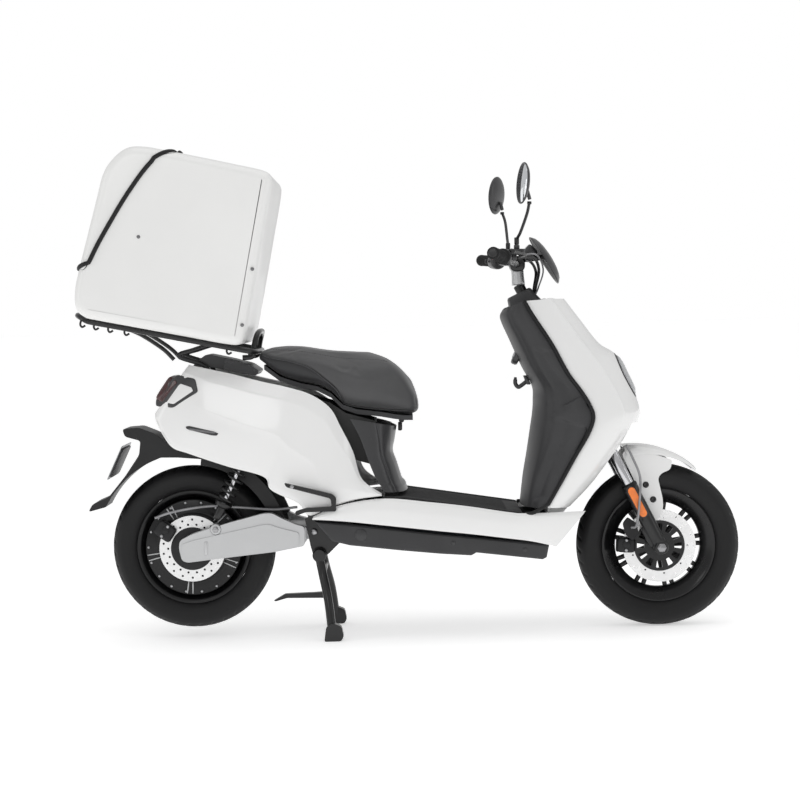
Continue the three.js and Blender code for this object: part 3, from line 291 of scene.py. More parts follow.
def plate(name, loops, y0, y1, material, body, bevel=1.0, to_level=None, holes=()):
    """A flat plate: outlines in (x, z) filled between, given thickness along y, edges bevelled.

    A 2D curve fills the outlines and leaves its inner loops open; made a mesh, its flat plane
    (u, w) becomes (x, z), and its thickness becomes y.
    """
    y0, y1 = sorted((y0, y1))
    curve = bpy.data.curves.new(name + ".curve", "CURVE")
    curve.dimensions = "2D"
    curve.fill_mode = "BOTH"
    curve.extrude = (y1 - y0) / 2
    for loop in [*loops, *holes]:
        s = curve.splines.new("POLY")
        s.points.add(len(loop) - 1)
        co = np.column_stack([np.asarray(loop, float), np.zeros(len(loop)), np.ones(len(loop))])
        s.points.foreach_set("co", co.ravel())
        s.use_cyclic_u = True
    holder = bpy.data.objects.new(name + ".holder", curve)
    bpy.context.scene.collection.objects.link(holder)
    mesh = bpy.data.meshes.new_from_object(holder.evaluated_get(bpy.context.evaluated_depsgraph_get()))
    bpy.data.objects.remove(holder)
    v = np.empty(len(mesh.vertices) * 3)
    mesh.vertices.foreach_get("co", v)
    v = v.reshape(-1, 3)
    v = np.column_stack([v[:, 0], v[:, 2] + (y0 + y1) / 2, v[:, 1]])
    faces = [list(p.vertices) for p in mesh.polygons]
    bpy.data.meshes.remove(mesh)
    key = np.round(v, 3)
    _, first, back = np.unique(key, axis=0, return_index=True, return_inverse=True)
    back = back.reshape(-1)
    v = v[first]
    faces = [[int(back[i]) for i in f] for f in faces]
    faces = [f for f in faces if len(set(f)) == len(f)]
    faces = outward(v, faces)
    if to_level is not None:
        v = to_level(v)
    obj = build(name, v, faces, material, body, smooth=False)
    soften(obj, bevel, 40)
    return obj


def circle(x, z, r, n=24):
    a = np.linspace(0, 2 * np.pi, n, endpoint=False)
    return np.column_stack([x + r * np.cos(a), z + r * np.sin(a)])


def shell(name, points, material, body, thickness, inward):
    """A grid of points as a skin: faces turned away from `inward`, then thickened that way."""
    rows, cols, _ = points.shape
    v = points.reshape(-1, 3)
    f = quads(rows, cols)
    c = v[f].mean(1)
    n = np.cross(v[f[:, 2]] - v[f[:, 0]], v[f[:, 3]] - v[f[:, 1]])
    if (n * inward(c)).sum() > 0:
        f = f[:, ::-1]
    obj = build(name, v, f, material, body)
    wall = obj.modifiers.new("wall", "SOLIDIFY")
    wall.thickness, wall.offset = thickness / 1000, -1
    wall.use_rim = wall.use_quality_normals = True
    soften(obj, 0.6, 60)
    return obj


def bake(obj):
    """Applies the modifiers, so that the mesh holds the result."""
    mesh = bpy.data.meshes.new_from_object(obj.evaluated_get(bpy.context.evaluated_depsgraph_get()))
    old = obj.data
    obj.modifiers.clear()
    obj.data = mesh
    bpy.data.meshes.remove(old)
    return obj


def carve(obj, tool, keep="DIFFERENCE"):
    """Takes a tool's volume out of a piece, or keeps only what is inside it."""
    tv, tf = tool
    cutter = build("tool", tv, tf, obj.data.materials[0], None, smooth=False)
    made.remove(cutter)
    m = obj.modifiers.new("cut", "BOOLEAN")
    m.operation = keep
    m.object = cutter
    m.solver = "EXACT"
    bpy.context.view_layer.update()
    bake(obj)
    bpy.data.objects.remove(cutter)
    return obj


def prism(loop, y0, y1):
    """A side outline made solid between two widths."""
    p = np.asarray(loop, float)
    n = len(p)
    v = np.vstack([np.column_stack([p[:, 0], np.full(n, y0), p[:, 1]]),
                   np.column_stack([p[:, 0], np.full(n, y1), p[:, 1]])])
    f = [[i, (i + 1) % n, n + (i + 1) % n, n + i] for i in range(n)]
    f += [list(range(n))[::-1], list(range(n, 2 * n))]
    return solid((v, f))


def both_sides(make):
    """Runs a maker for the right side (-1) and the left side (+1)."""
    return [make(side, word) for side, word in SIDES]


print("tools ready")

# %% [markdown]
# ## Finishes
# A finish is a Principled shader whose colour, roughness and bump come from noise in object
# coordinates, so nothing is one flat colour. Sizes are in metres: a noise scale of 1000 has
# features about a millimetre wide. Values that are the same all over sit on the shader's sockets.


def shader_node(tree, kind, **values):
    """A new shader node, with inputs set by name (underscores stand for spaces)."""
    made_node = tree.nodes.new("ShaderNode" + kind)
    for key, value in values.items():
        made_node.inputs[key.replace("_", " ")].default_value = value
    return made_node


def colour_ramp(tree, *stops):
    """A colour ramp with two stops, each a position and a colour."""
    ramp = shader_node(tree, "ValToRGB")
    for element, (at, colour) in zip(ramp.color_ramp.elements, stops):
        element.position, element.color = at, (*colour, 1)
    return ramp


def finish(name, colour, rough, metal=0.0, vary=0.06, patch=6.0, rough_vary=0.12, grain=900.0,
           bump=0.15, relief=0.0002, coat=0.0, sheen=0.0, cells=False, spec=0.5, scuff=0.0):
    """Base colour and roughness vary in soft patches; a finer pattern makes the grain."""
    m = bpy.data.materials.new(name + "_look")
    m.use_nodes = True
    t = m.node_tree
    t.nodes.clear()
    link = t.links.new
    out, co = shader_node(t, "OutputMaterial"), shader_node(t, "TexCoord")
    p = shader_node(t, "BsdfPrincipled", Metallic=metal, Coat_Weight=coat, Coat_Roughness=0.06,
                    Sheen_Weight=sheen, Specular_IOR_Level=spec)
    soft = shader_node(t, "TexNoise", Scale=patch, Detail=6)
    c = np.array(colour)
    ramp = colour_ramp(t, (0.35, np.clip(c * (1 - vary), 0, 1)), (0.68, np.clip(c * (1 + vary), 0, 1)))
    span = shader_node(t, "MapRange", From_Min=0.3, From_Max=0.7, To_Min=max(0.02, rough * (1 - rough_vary)),
                       To_Max=min(1.0, rough * (1 + rough_vary)))
    if cells:
        fine = shader_node(t, "TexVoronoi", Scale=grain)
        fine.feature = "SMOOTH_F1"
        fine.inputs["Smoothness"].default_value = 0.4
    else:
        fine = shader_node(t, "TexNoise", Scale=grain, Detail=3)
    b = shader_node(t, "Bump", Strength=bump, Distance=relief)
    for source, target in ((co.outputs["Object"], soft.inputs["Vector"]),
                           (co.outputs["Object"], fine.inputs["Vector"]),
                           (soft.outputs[0], ramp.inputs[0]), (soft.outputs[0], span.inputs[0]),
                           (ramp.outputs[0], p.inputs["Base Color"]),
                           (span.outputs[0], p.inputs["Roughness"]),
                           (fine.outputs[0], b.inputs["Height"]), (b.outputs[0], p.inputs["Normal"]),
                           (p.outputs[0], out.inputs[0])):
        link(source, target)
    if scuff:
        marks = shader_node(t, "TexNoise", Scale=34, Detail=9, Roughness=0.75)
        worn = colour_ramp(t, (0.60, (0, 0, 0)), (0.72, (scuff, scuff, scuff)))
        mix = shader_node(t, "Mix")
        mix.data_type = "RGBA"
        mix.inputs[7].default_value = (*np.clip(c * 1.6 + 0.03, 0, 1), 1)
        link(co.outputs["Object"], marks.inputs["Vector"])
        link(marks.outputs[0], worn.inputs[0])
        link(worn.outputs[0], mix.inputs[0])
        link(ramp.outputs[0], mix.inputs[6])
        link(mix.outputs[2], p.inputs["Base Color"])
    return m


def shader(material):
    return next(n for n in material.node_tree.nodes if n.type == "BSDF_PRINCIPLED")


white_gloss = finish("white_gloss", (0.86, 0.86, 0.855), 0.14, vary=0.012, patch=2.5,
                     grain=420,
                     bump=0.05, relief=0.0001, coat=0.6)
box_gel = finish("box_gel", (0.85, 0.85, 0.84), 0.32, vary=0.02, patch=3.5, grain=160, bump=0.10,
                 relief=0.0003, coat=0.25)
dark_plastic = finish("dark_plastic", (0.034, 0.034, 0.036), 0.46, vary=0.16, patch=9,
                      grain=1500,
                      bump=0.35, relief=0.00012, cells=True, scuff=0.10)
pillar_plastic = finish("pillar_plastic", (0.042, 0.042, 0.044), 0.30, vary=0.14, patch=7,
                        grain=1300, bump=0.20, relief=0.0001, cells=True, scuff=0.08)
vinyl = finish("vinyl", (0.060, 0.060, 0.062), 0.46, vary=0.10, patch=12, grain=620, bump=0.45,
               relief=0.00022, cells=True, sheen=0.15)
vinyl_side = finish("vinyl_side", (0.022, 0.022, 0.024), 0.58, vary=0.12, patch=14, grain=760,
                    bump=0.5, relief=0.00022, cells=True, sheen=0.1)
thread = finish("thread", (0.05, 0.05, 0.052), 0.8, vary=0.3, patch=300, grain=2500, bump=0.6)
mat_rubber = finish("mat_rubber", (0.022, 0.022, 0.023), 0.72, vary=0.2, patch=18, grain=1100,
                    bump=0.5, scuff=0.2)
tyre_black = finish("tyre_black", (0.0055, 0.0055, 0.006), 0.55, spec=0.35, vary=0.25,
                    patch=11, grain=900,
                    bump=0.35, relief=0.0003, scuff=0.12)
grip_black = finish("grip_black", (0.010, 0.010, 0.0105), 0.65, spec=0.35, vary=0.2, patch=40,
                    grain=1800, bump=0.5)
cable_black = finish("cable_black", (0.006, 0.006, 0.0065), 0.42, spec=0.35, vary=0.2,
                     patch=30, grain=900,
                     bump=0.2)
cable_grey = finish("cable_grey", (0.30, 0.30, 0.31), 0.4, metal=0.5, vary=0.15, patch=30,
                    grain=900, bump=0.2)
steel_black = finish("steel_black", (0.006, 0.006, 0.0065), 0.30, spec=0.4, vary=0.25,
                     patch=15, grain=700,
                     bump=0.18, relief=0.0002, coat=0.3, scuff=0.12)
motor_black = finish("motor_black", (0.005, 0.005, 0.0055), 0.34, spec=0.35, metal=0.2,
                     vary=0.2, patch=14,
                     grain=800, bump=0.2, relief=0.0002, coat=0.2, scuff=0.1)
wheel_black = finish("wheel_black", (0.005, 0.005, 0.0055), 0.28, spec=0.35, metal=0.2,
                     vary=0.2, patch=14,
                     grain=700, bump=0.15, relief=0.0002, coat=0.3, scuff=0.1)
cast_grey = finish("cast_grey", (0.014, 0.014, 0.015), 0.45, metal=0.3, vary=0.3, patch=30,
                   grain=500, bump=0.5, relief=0.0004, scuff=0.25)
alloy = finish("alloy", (0.56, 0.565, 0.57), 0.34, metal=0.75, vary=0.05, patch=5, grain=1300,
               bump=0.16, relief=0.0001, rough_vary=0.25)
lever_grey = finish("lever_grey", (0.20, 0.20, 0.205), 0.38, metal=0.9, vary=0.2, patch=20,
                    grain=900, bump=0.15)
lever_black = finish("lever_black", (0.03, 0.03, 0.031), 0.32, metal=0.4, vary=0.2, patch=20,
                     grain=900,
                     bump=0.15, scuff=0.15)
bright = finish("bright", (0.62, 0.62, 0.64), 0.16, metal=1.0, vary=0.05, patch=20, grain=900,
                bump=0.04)
zinc = finish("zinc", (0.42, 0.42, 0.43), 0.32, metal=1.0, vary=0.2, patch=60, grain=1500,
              bump=0.2)
case_paint = finish("case_paint", (0.08, 0.09, 0.11), 0.5, vary=0.2, patch=8, grain=600,
                    bump=0.2)
black_plastic = finish("black_plastic", (0.012, 0.012, 0.0125), 0.42, vary=0.2, patch=9,
                       grain=1500,
                       bump=0.35, relief=0.00012, cells=True, scuff=0.12, spec=0.4)
bucket_black = finish("bucket_black", (0.03, 0.03, 0.03), 0.55, vary=0.2, patch=10,
                      grain=900,
                      bump=0.3)
orange = finish("orange", (0.9, 0.20, 0.01), 0.18, vary=0.12, patch=60, grain=320, bump=0.7,
                relief=0.0006, cells=True, coat=0.8)
red_lens = finish("red_lens", (0.045, 0.002, 0.003), 0.12, vary=0.3, patch=70, grain=260,
                  bump=0.6,
                  relief=0.0006, cells=True, coat=0.9)
clear_black = finish("clear_black", (0.01, 0.01, 0.012), 0.08, vary=0.1, patch=20, grain=500,
                     bump=0.03,
                     coat=0.8)
red_button = finish("red_button", (0.42, 0.02, 0.02), 0.4, vary=0.1, patch=60, grain=1200,
                    bump=0.2)
blank_plate = finish("blank_plate", (0.42, 0.43, 0.44), 0.35, metal=0.6, vary=0.12, patch=20,
                     grain=900, bump=0.15)

# %% [markdown]
# A ground brake disc has fine rings round its own axle. A Mapping node moves the coordinates to
# the axle and a Wave texture draws rings there, which stay put because the disc is a piece of
# revolution. The mirror is a nearly smooth metal, and the lamp lens is clear and slightly rough.

# %% Discs, mirror and lens
def ground_disc(name, axle):
    m = finish(name, (0.88, 0.88, 0.88), 0.26, metal=0.55, vary=0.05, patch=30, grain=900,
               bump=0.05)
    t = m.node_tree
    co = next(n for n in t.nodes if n.type == "TEX_COORD")
    move = shader_node(t, "Mapping", Location=tuple(-np.asarray(axle)))
    wave = shader_node(t, "TexWave", Scale=260, Distortion=0.6)
    wave.wave_type, wave.rings_direction = "RINGS", "Y"
    bump = next(n for n in t.nodes if n.type == "BUMP")
    bump.inputs["Strength"].default_value = 0.12
    t.links.new(co.outputs["Object"], move.inputs[0])
    t.links.new(move.outputs[0], wave.inputs[0])
    t.links.new(wave.outputs[0], bump.inputs["Height"])
    return m


front_disc_steel = ground_disc("front_disc_steel", front_axle)
rear_disc_steel = ground_disc("rear_disc_steel", rear_axle)
mirror_glass = finish("mirror_glass", (0.80, 0.82, 0.84), 0.03, metal=1.0, vary=0.01, patch=8,
                      grain=60, bump=0.01)
clear_lens = finish("clear_lens", (0.86, 0.88, 0.90), 0.06, vary=0.02, patch=20, grain=200,
                    bump=0.3,
                    relief=0.0006, coat=0.6)
shader(clear_lens).inputs["Transmission Weight"].default_value = 0.5
print("special finishes done")

# %% [markdown]
# ## Studio
# A pale floor runs under everything, a broad light hangs overhead and a second fills the near
# side, so white panels stay white and the black pieces keep soft highlights. The camera stands
# 5.3 m away on the right-hand side, a little lower than the bar, looking slightly down.

# %% Floor, light and camera
scene = bpy.context.scene
scene.view_settings.view_transform = "Standard"
world = bpy.data.worlds.new("studio")
scene.world = world
world.use_nodes = True
sky = world.node_tree
lit = sky.nodes["Background"]
for key, value in (("Color", (1, 1, 1, 1)), ("Strength", 0.58)):
    lit.inputs[key].default_value = value
seen = shader_node(sky, "Background", Color=(1, 1, 1, 1), Strength=1.0)
path_kind, mix_sky = shader_node(sky, "LightPath"), shader_node(sky, "MixShader")
for source, target in ((path_kind.outputs["Is Camera Ray"], mix_sky.inputs[0]),
                       (lit.outputs[0], mix_sky.inputs[1]),
                       (seen.outputs[0], mix_sky.inputs[2]),
                       (mix_sky.outputs[0], sky.nodes["World Output"].inputs[0])):
    sky.links.new(source, target)

floor_mat_white = finish("floor_white", (0.93, 0.93, 0.93), 0.7, vary=0.004, patch=0.8,
                         grain=40, bump=0.01)
shader(floor_mat_white).inputs["Emission Color"].default_value = (1, 1, 1, 1)
shader(floor_mat_white).inputs["Emission Strength"].default_value = 0.46
floor = build("studio_floor", [[-60, -9, 0], [60, -9, 0], [60, 110, 0], [-60, 110, 0]],
              [[0, 1, 2, 3]], floor_mat_white, None, at_rest=False)
made.remove(floor)


def lamp(name, at, target, size, watts):
    light = bpy.data.lights.new(name, "AREA")
    light.shape = "RECTANGLE"
    light.size, light.size_y = size
    light.energy = watts
    obj = bpy.data.objects.new(name, light)
    scene.collection.objects.link(obj)
    obj.location = at
    obj.rotation_euler = (Vector(target) - Vector(at)).to_track_quat("-Z", "Y").to_euler()
    return obj


lamp("overhead", (0.2, -0.4, 3.6), (0, 0, 0.4), (3.6, 2.4), 23)
lamp("near_fill", (-1.6, -4.2, 2.2), (0, 0, 0.6), (1.6, 1.0), 9)
lamp("rear_strip", (-3.6, -1.2, 1.6), (0, 0, 0.8), (0.7, 2.2), 6)
lamp("front_strip", (3.4, -1.0, 1.8), (0.2, 0, 0.7), (0.7, 2.2), 6)

camera_data = bpy.data.cameras.new("camera")
camera_data.sensor_width, camera_data.lens = 36, 83.25
camera = bpy.data.objects.new("camera", camera_data)
scene.collection.objects.link(camera)
TILT, ROLL = math.radians(2.70), math.radians(-0.28)
camera_at = place([592, -5300, 900])
look = np.array([0, math.cos(TILT), -math.sin(TILT)])
right = np.array([1.0, 0, 0])
up = np.cross(right, look)
right, up = (math.cos(ROLL) * right + math.sin(ROLL) * up, math.cos(ROLL) * up - math.sin(ROLL) * right)
axes = np.column_stack([TURN @ right, TURN @ up, TURN @ -look])
camera.matrix_world = Matrix(np.vstack([np.column_stack([axes, camera_at]), [0, 0, 0, 1]]).tolist())
scene.camera = camera
print("camera at", np.round(camera_at, 3))

# %% [markdown]
# ## Shield and apron
# The front apron is a wrap-round moulding. Each height has a row of numbers: how far forward the
# nose is, where the side edges are and how wide it is; between them the section is close to an
# ellipse. A sharp fold runs down each cheek, made by pushing the surface out in a cusp that fades
# out towards the bottom, because a panel without that fold would look like a balloon.

# %% Front apron
SHIELD = [
    [1086, 352, 1000, 184, 357, 940, 352], [1150, 414, 1038, 186, 424, 948, 430],
    [1204, 480, 1080, 187, 500, 959, 500], [1250, 545, 1116, 186, 562, 968, 562],
    [1278, 612, 1131, 182, 606, 975, 612], [1262, 668, 1122, 176, 640, 977, 650],
    [1238, 720, 1098, 168, 680, 974, 690], [1206, 780, 1062, 157, 730, 944, 746],
    [1160, 812, 1018, 142, 812, 911, 819], [1110, 875, 968, 122, 890, 884, 881],
    [1062, 938, 944, 110, 932, 890, 905],
]
SKIN = 3.5


def bump(x, centre, width):
    """A smooth hill: one at the centre and nothing beyond its width."""
    d = np.clip(np.abs(x - centre) / width, 0, 1)
    return (1 - d * d) ** 2


def step(x, a, b):
    """Rises smoothly from 0 at a to 1 at b."""
    t = np.clip((x - a) / (b - a), 0, 1)
    return t * t * (3 - 2 * t)


def normals(points):
    """Unit normals of a grid of points from its own differences."""
    n = np.cross(np.gradient(points, axis=0), np.gradient(points, axis=1))
    return n / np.maximum(np.linalg.norm(n, axis=-1, keepdims=True), 1e-9)


def apron_surface(s, t):
    """x = edge + reach · cos^0.9, y = half width · sin, z = edge height + rise · cos."""
    r = rows_at(SHIELD, t)
    a = (s - 0.5) * np.pi
    c = np.maximum(np.cos(a), 0)
    return np.stack([r[..., 2] + (r[..., 0] - r[..., 2]) * c ** 0.9, r[..., 3] * np.sin(a),
                     r[..., 4] + (r[..., 1] - r[..., 4]) * c], -1)


def grid(n, m, warp=0.0):
    """Parameters over a sheet; warp crowds the first one's samples towards its ends."""
    u = np.linspace(0, 1, n)
    u = u - warp * np.sin(2 * np.pi * u) / (2 * np.pi)
    return np.meshgrid(u, np.linspace(0, 1, m), indexing="ij")


s, t = grid(140, 120, 0.5)
P = apron_surface(s, t)
N = normals(P)
N *= np.sign((N * (P - np.array([1000, 0, 600]))).sum(-1).mean())
fold = np.exp(-np.abs(np.minimum(s, 1 - s) - 0.155 - 0.02 * t) / 0.055) * step(t, 0.26, 0.44)
nose = np.exp(-np.abs(s - 0.5) / 0.10) * step(t, 0.42, 0.55) * (1 - step(t, 0.62, 0.75))
hem = np.exp(-np.minimum(s, 1 - s) / 0.012)
P = P + N * (12.0 * fold + 2.0 * nose - 3.0 * hem)[..., None]
apron = shell("apron_skin", P, white_gloss, "chassis", SKIN, lambda c: np.array([1000, 0, 0]) - c * [1, 1, 0])
carve(apron, prism([[1036, 300], [1330, 300], [1330, 588], [1182, 588], [1104, 484]], -119, 119))
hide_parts("front_apron")
print("apron", len(apron.data.polygons), "faces")

# %% [markdown]
# ## Headlight
# The lamp is a shallow lens on the nose, over a dark bezel. Both follow the apron's own surface,
# lifted off it along the normal, so their edges sit evenly.

# %% Headlight lens and bezel
def apron_patch(s0, s1, t0, t1, lift, corner=0.18, n=48):
    """Part of the apron surface lifted off it; a squircle of (s, t) rounds the corners."""
    r, a = np.meshgrid(np.linspace(0, 1, 14), np.linspace(0, 2 * np.pi, n, endpoint=False), indexing="ij")
    ca, sa = np.cos(a), np.sin(a)
    k = (np.abs(ca) ** (2 / corner / 4) + np.abs(sa) ** (2 / corner / 4)) ** (-corner * 2)
    x, y = r * ca * k, r * sa * k
    ss, tt = (s0 + s1) / 2 + x * (s1 - s0) / 2, (t0 + t1) / 2 + y * (t1 - t0) / 2
    e = 2e-3
    p = apron_surface(ss, tt)
    n_ = np.cross(apron_surface(ss + e, tt) - apron_surface(ss - e, tt),
                  apron_surface(ss, tt + e) - apron_surface(ss, tt - e))
    n_ /= np.linalg.norm(n_, axis=-1, keepdims=True)
    n_ *= np.sign(n_[..., :1])
    return p + n_ * (lift(r) if callable(lift) else lift)[..., None], n_


def lens_like(name, box, lift, thickness, material):
    """A patch closed with a wall and a back, like a lens or a bezel."""
    top, n_ = apron_patch(*box, lift)
    back = top[-1] - n_[-1] * thickness
    rows = np.concatenate([top, back[None]], 0)
    v = rows.reshape(-1, 3)
    f = quads(rows.shape[0], rows.shape[1], False, True).tolist()
    f.append(list(range((rows.shape[0] - 1) * rows.shape[1], rows.shape[0] * rows.shape[1])))
    return build(name, *solid((v, f)), material, "chassis")


lens_like("headlight_bezel", (0.355, 0.645, 0.475, 0.705), lambda r: 2.6 - 1.4 * r ** 8, 5, dark_plastic)
lens = lens_like("headlight_glass", (0.375, 0.625, 0.492, 0.688), lambda r: 9.0 - 5.5 * r ** 6, 6.5,
                 clear_lens)
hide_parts("headlight_lens")
for k, tt in enumerate((0.55, 0.63)):
    c, n_ = apron_patch(0.49, 0.51, tt - 0.003, tt + 0.003, np.zeros((14, 48)))
    c, n_ = c[0, 0], n_[0, 0]
    bowl = dome([[0, 5.5], [12, 5.5], [17, 4.4], [19, 3.2], [19, 1.2], [0, 1.2]], c, n_, 36)
    build(f"headlight_bowl_{k + 1}", *bowl, bright, "chassis")
print("headlight at", np.round(c))

# %% [markdown]
# ## Rider's side of the shield
# This is one grained moulding with a raised spine, a glove pocket, a shelf and a knee hollow. The
# sheet is the shield's back surface; smooth steps across its two parameters push it forward where
# something is hollow. A rubber edging strip hides the joint with the white apron.

# %% Inner leg shield
def inner_surface(s, t):
    """The same rows, running from the edge back to the spine: cos(1.3 - 0.3 cos) across."""
    r = rows_at(SHIELD, t)
    a = (s - 0.5) * np.pi
    c = np.maximum(np.cos(a), 0)
    q = c * (1.3 - 0.3 * c)
    return np.stack([r[..., 2] - 5 + (r[..., 5] - r[..., 2] + 5) * q, (r[..., 3] - 7) * np.sin(a),
                     r[..., 4] + (r[..., 6] - r[..., 4]) * c], -1), q


s, t = grid(150, 150, 0.4)
P, q = inner_surface(s, t)
z = P[..., 2]
knee = step(q, 0.10, 0.16) * (1 - step(q, 0.52 + 0.10 * step(z, 560, 380), 0.66 + 0.10 * step(z, 560, 380)))
knee = knee * step(z, 372, 392) * (1 - step(z - 40 * q, 566, 584))
pocket = step(q, 0.06, 0.10) * (1 - step(q, 0.50, 0.60)) * step(z + 60 * q, 668,
                                                                684) * (1 - step(z, 790, 800))
shelf = bump(z + 45 * q, 640, 18) * (1 - step(q, 0.6, 0.8))
spine = step(q, 0.70, 0.80)
groove = np.exp(-np.abs(z - 606 - 20 * q) / 2.2) * (1 - spine)
P[..., 0] += 15 * knee + pocket * (12 + 16 * step(z, 790, 690)) - 5 * shelf - 4 * spine + 2.5 * groove
inner = shell("leg_shield_moulding", P, dark_plastic, "chassis", SKIN, lambda c: X)
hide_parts("inner_leg_shield")


def edging(side, word):
    r = rows_at(SHIELD, np.linspace(0.0, 1, 90))
    path = np.column_stack([r[:, 2] - 3, side * (r[:, 3] + 0.5), r[:, 4]])
    bend = smooth([[938, side * 178, 340], [962, side * 183, 344], path[2]], 16)
    build(f"shield_edging_{word}", *swept(np.vstack([bend[:-1], path[2:]]), 5.2, 10), cable_black, "chassis")


both_sides(edging)
key_axis = np.array([-math.cos(0.42), 0, math.sin(0.42)])
key_at, _ = inner_surface(np.array(0.5), np.array(0.74))
ring = dome([[0, -6], [24, -6], [27, -2], [27, 9], [24, 12], [20, 12], [18, 9], [17, 9], [0, 9]], key_at,
            key_axis, 48)
build("key_ring", *ring, pillar_plastic, "chassis")
lock = dome([[0, 6], [11, 6], [12.5, 10], [12.5, 13], [11, 14.5], [0, 14.5]], key_at, key_axis, 32)
build("key_barrel", *lock, zinc, "chassis")
print("shield width", round(float(np.ptp(P[..., 1]))), "mm")

# %% [markdown]
# ## Column cover, hook and floor
# The column cover is a lofted block: rounded rectangles that shrink as they climb the steering
# axis. The bag hook is a plate with a bent bar. The floor is a rubber mat with raised ribs, drawn
# as a height over a plain grid.

# %% Column cover, bag hook, floor mat
RAKE = math.radians(27.1)
LEG_DOWN = np.array([math.sin(RAKE), 0, -math.cos(RAKE)])
LEG_AHEAD = np.array([math.cos(RAKE), 0, math.sin(RAKE)])


def on_leg(z, ahead=0.0, y=0.0):
    """A point on the fork legs' line at height z."""
    return FRONT_HUB + LEG_DOWN * (TYRE_R - z) / math.cos(RAKE) + LEG_AHEAD * ahead + Y * y


def squircle(n, rx, ry, power=0.35):
    """A rounded rectangle as cos and sin raised to a small power."""
    a = np.linspace(0, 2 * np.pi, n, endpoint=False)
    c, s_ = np.cos(a), np.sin(a)
    return np.column_stack([rx * np.sign(c) * np.abs(c) ** power, ry * np.sign(s_) * np.abs(s_) ** power])


def loft(centres, sizes, u, v, n=40, power=0.35):
    """Rounded rectangles of the given half sizes, set across by u and v."""
    rings = [np.asarray(c) + squircle(n, a, b, power) @ np.array([u, v]) for c, (a, b) in zip(centres, sizes)]
    return solid(closed_grid(np.array(rings)))


zs = np.array([888, 900, 925, 950, 962, 966])
cover = loft([on_leg(k, -15 - 14 + (k - 888) * 0.05) for k in zs],
             [(60, 66), (60, 66), (50, 56), (40, 46), (37, 42), (33, 38)], LEG_AHEAD, Y)
cover = build("column_cowl", *cover, dark_plastic, "chassis")
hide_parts("column_cover")
cowl_lip = loft([on_leg(k, -30) for k in (893, 897, 903, 906)], [(56, 68), (62, 72), (62, 72), (57, 69)],
                LEG_AHEAD, Y)
build("column_lip", *cowl_lip, pillar_plastic, "chassis")

HOOK = np.array([957.0, 0, 700.0])
hook_plate = loft([HOOK + d for d in ([3.5, 0, -7], [3, 0, -5], [-6, 0, 17], [-6.5, 0, 19])],
                  [(5, 12), (6.5, 14), (5.5, 14), (4, 12)], X, Y, 32)
hook_bar = swept(smooth([HOOK + d for d in ([-2, 0, 2], [-16, 0, -9], [-26, 0, -14], [-34, 0, -4],
                                            [-34, 0, 14])], 40),
                 np.concatenate([np.full(34, 6.0), np.linspace(6, 3.5, 6)]), 14)
hook = build("hook_moulding", *merge(hook_plate, hook_bar), pillar_plastic, "bag_hook")
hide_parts("bag_hook")

FLOOR_HALF = 176
u, w = np.meshgrid(np.linspace(0, 1, 130), np.linspace(-1, 1, 220), indexing="ij")
fx = 548 + (934 - 548) * u
fz = np.interp(fx, [548, 600, 930, 934], [388, 388, 342, 341])
rib = 1.6 * step(np.cos(w * np.pi * 13), 0.25, 0.75) * step(u, 0.09, 0.11) * (1 - step(u, 0.88, 0.90))
rib = rib * (1 - step(np.abs(w), 0.86, 0.88))
lip = 4.0 * step(np.abs(w), 0.93, 0.955)
top = np.stack([fx, w * FLOOR_HALF, fz - 2.2 + rib + lip], -1)
mat_skin = shell("floor_mat_ribbed", top, mat_rubber, "chassis", 6.5, lambda c: -Z)
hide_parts("floor_mat")
print("floor", round(float(np.ptp(fx))), "mm long")

# %% [markdown]
# ## Side panels
# Each side is a sheet between a lower and an upper edge line, both given as rows of points, with
# a bulge in the middle. Folds are written in the two parameters: a chamfer under the upper edge,
# a soft crease along the flank, and a rolled lower hem.

# %% Skirts and rear body panels
def panel(rows, bulge, n, m, relief):
    """A straight line from lower edge to upper edge, bowed outward by a half sine."""
    s, t = grid(n, m)
    r = rows_at(rows, s)
    low, high = r[..., :3], r[..., 3:]
    p = low + (high - low) * t[..., None]
    p[..., 1] += bulge * np.sin(np.pi * t) + relief(s, t)
    return p


def mirrored(p, side):
    return p * np.array([1, side, 1])


SKIRT = [
    [346, 182, 326, 350, 183, 336], [440, 186, 321, 425, 186, 367], [537, 186, 311, 545, 187.5, 385],
    [703, 186, 293, 679, 188, 374], [784, 186, 285, 784, 188, 362], [890, 184, 272, 890, 188, 346],
    [960, 178, 262, 948, 187, 342], [1026, 166, 246, 1108, 168, 346],
]
skirt = panel(SKIRT, 5, 110, 26, lambda s, t: -4 * step(t, 0.90, 1.0) - 4 * (1 - step(t, 0.0, 0.10)))
BODY = [
    [-100, 88, 619, -2, 100, 757], [-94, 100, 592, 20, 112, 752], [-53, 120, 529, 75, 126, 741],
    [0, 134, 508, 130, 134, 729], [110, 152, 473, 200, 142, 711], [210, 163, 445, 280, 148, 693],
    [232, 168, 408, 345, 152, 672], [307, 175, 371, 397, 157, 635], [338, 180, 338, 425, 162, 585],
    [400, 183, 362, 460, 168, 515], [470, 185, 382, 485, 176, 440], [540, 187, 392, 540, 187, 400],
]


def body_relief(s, t):
    """A chamfer near the top, a flank crease that fades forward, and a hem turned under."""
    fades = 1 - step(s, 0.80, 0.95)
    chamfer = -13 * np.clip((t - 0.86) / 0.14, 0, 1) * fades
    crease = 3.5 * np.exp(-np.abs(t - 0.60 + 0.25 * s) / 0.06) * step(s, 0.14, 0.3) * (1 - step(s, 0.55, 0.8))
    hem = -6 * (1 - step(t, 0.0, 0.05))
    return chamfer + crease + hem


body_sheet = panel(BODY, 14, 190, 90, body_relief)


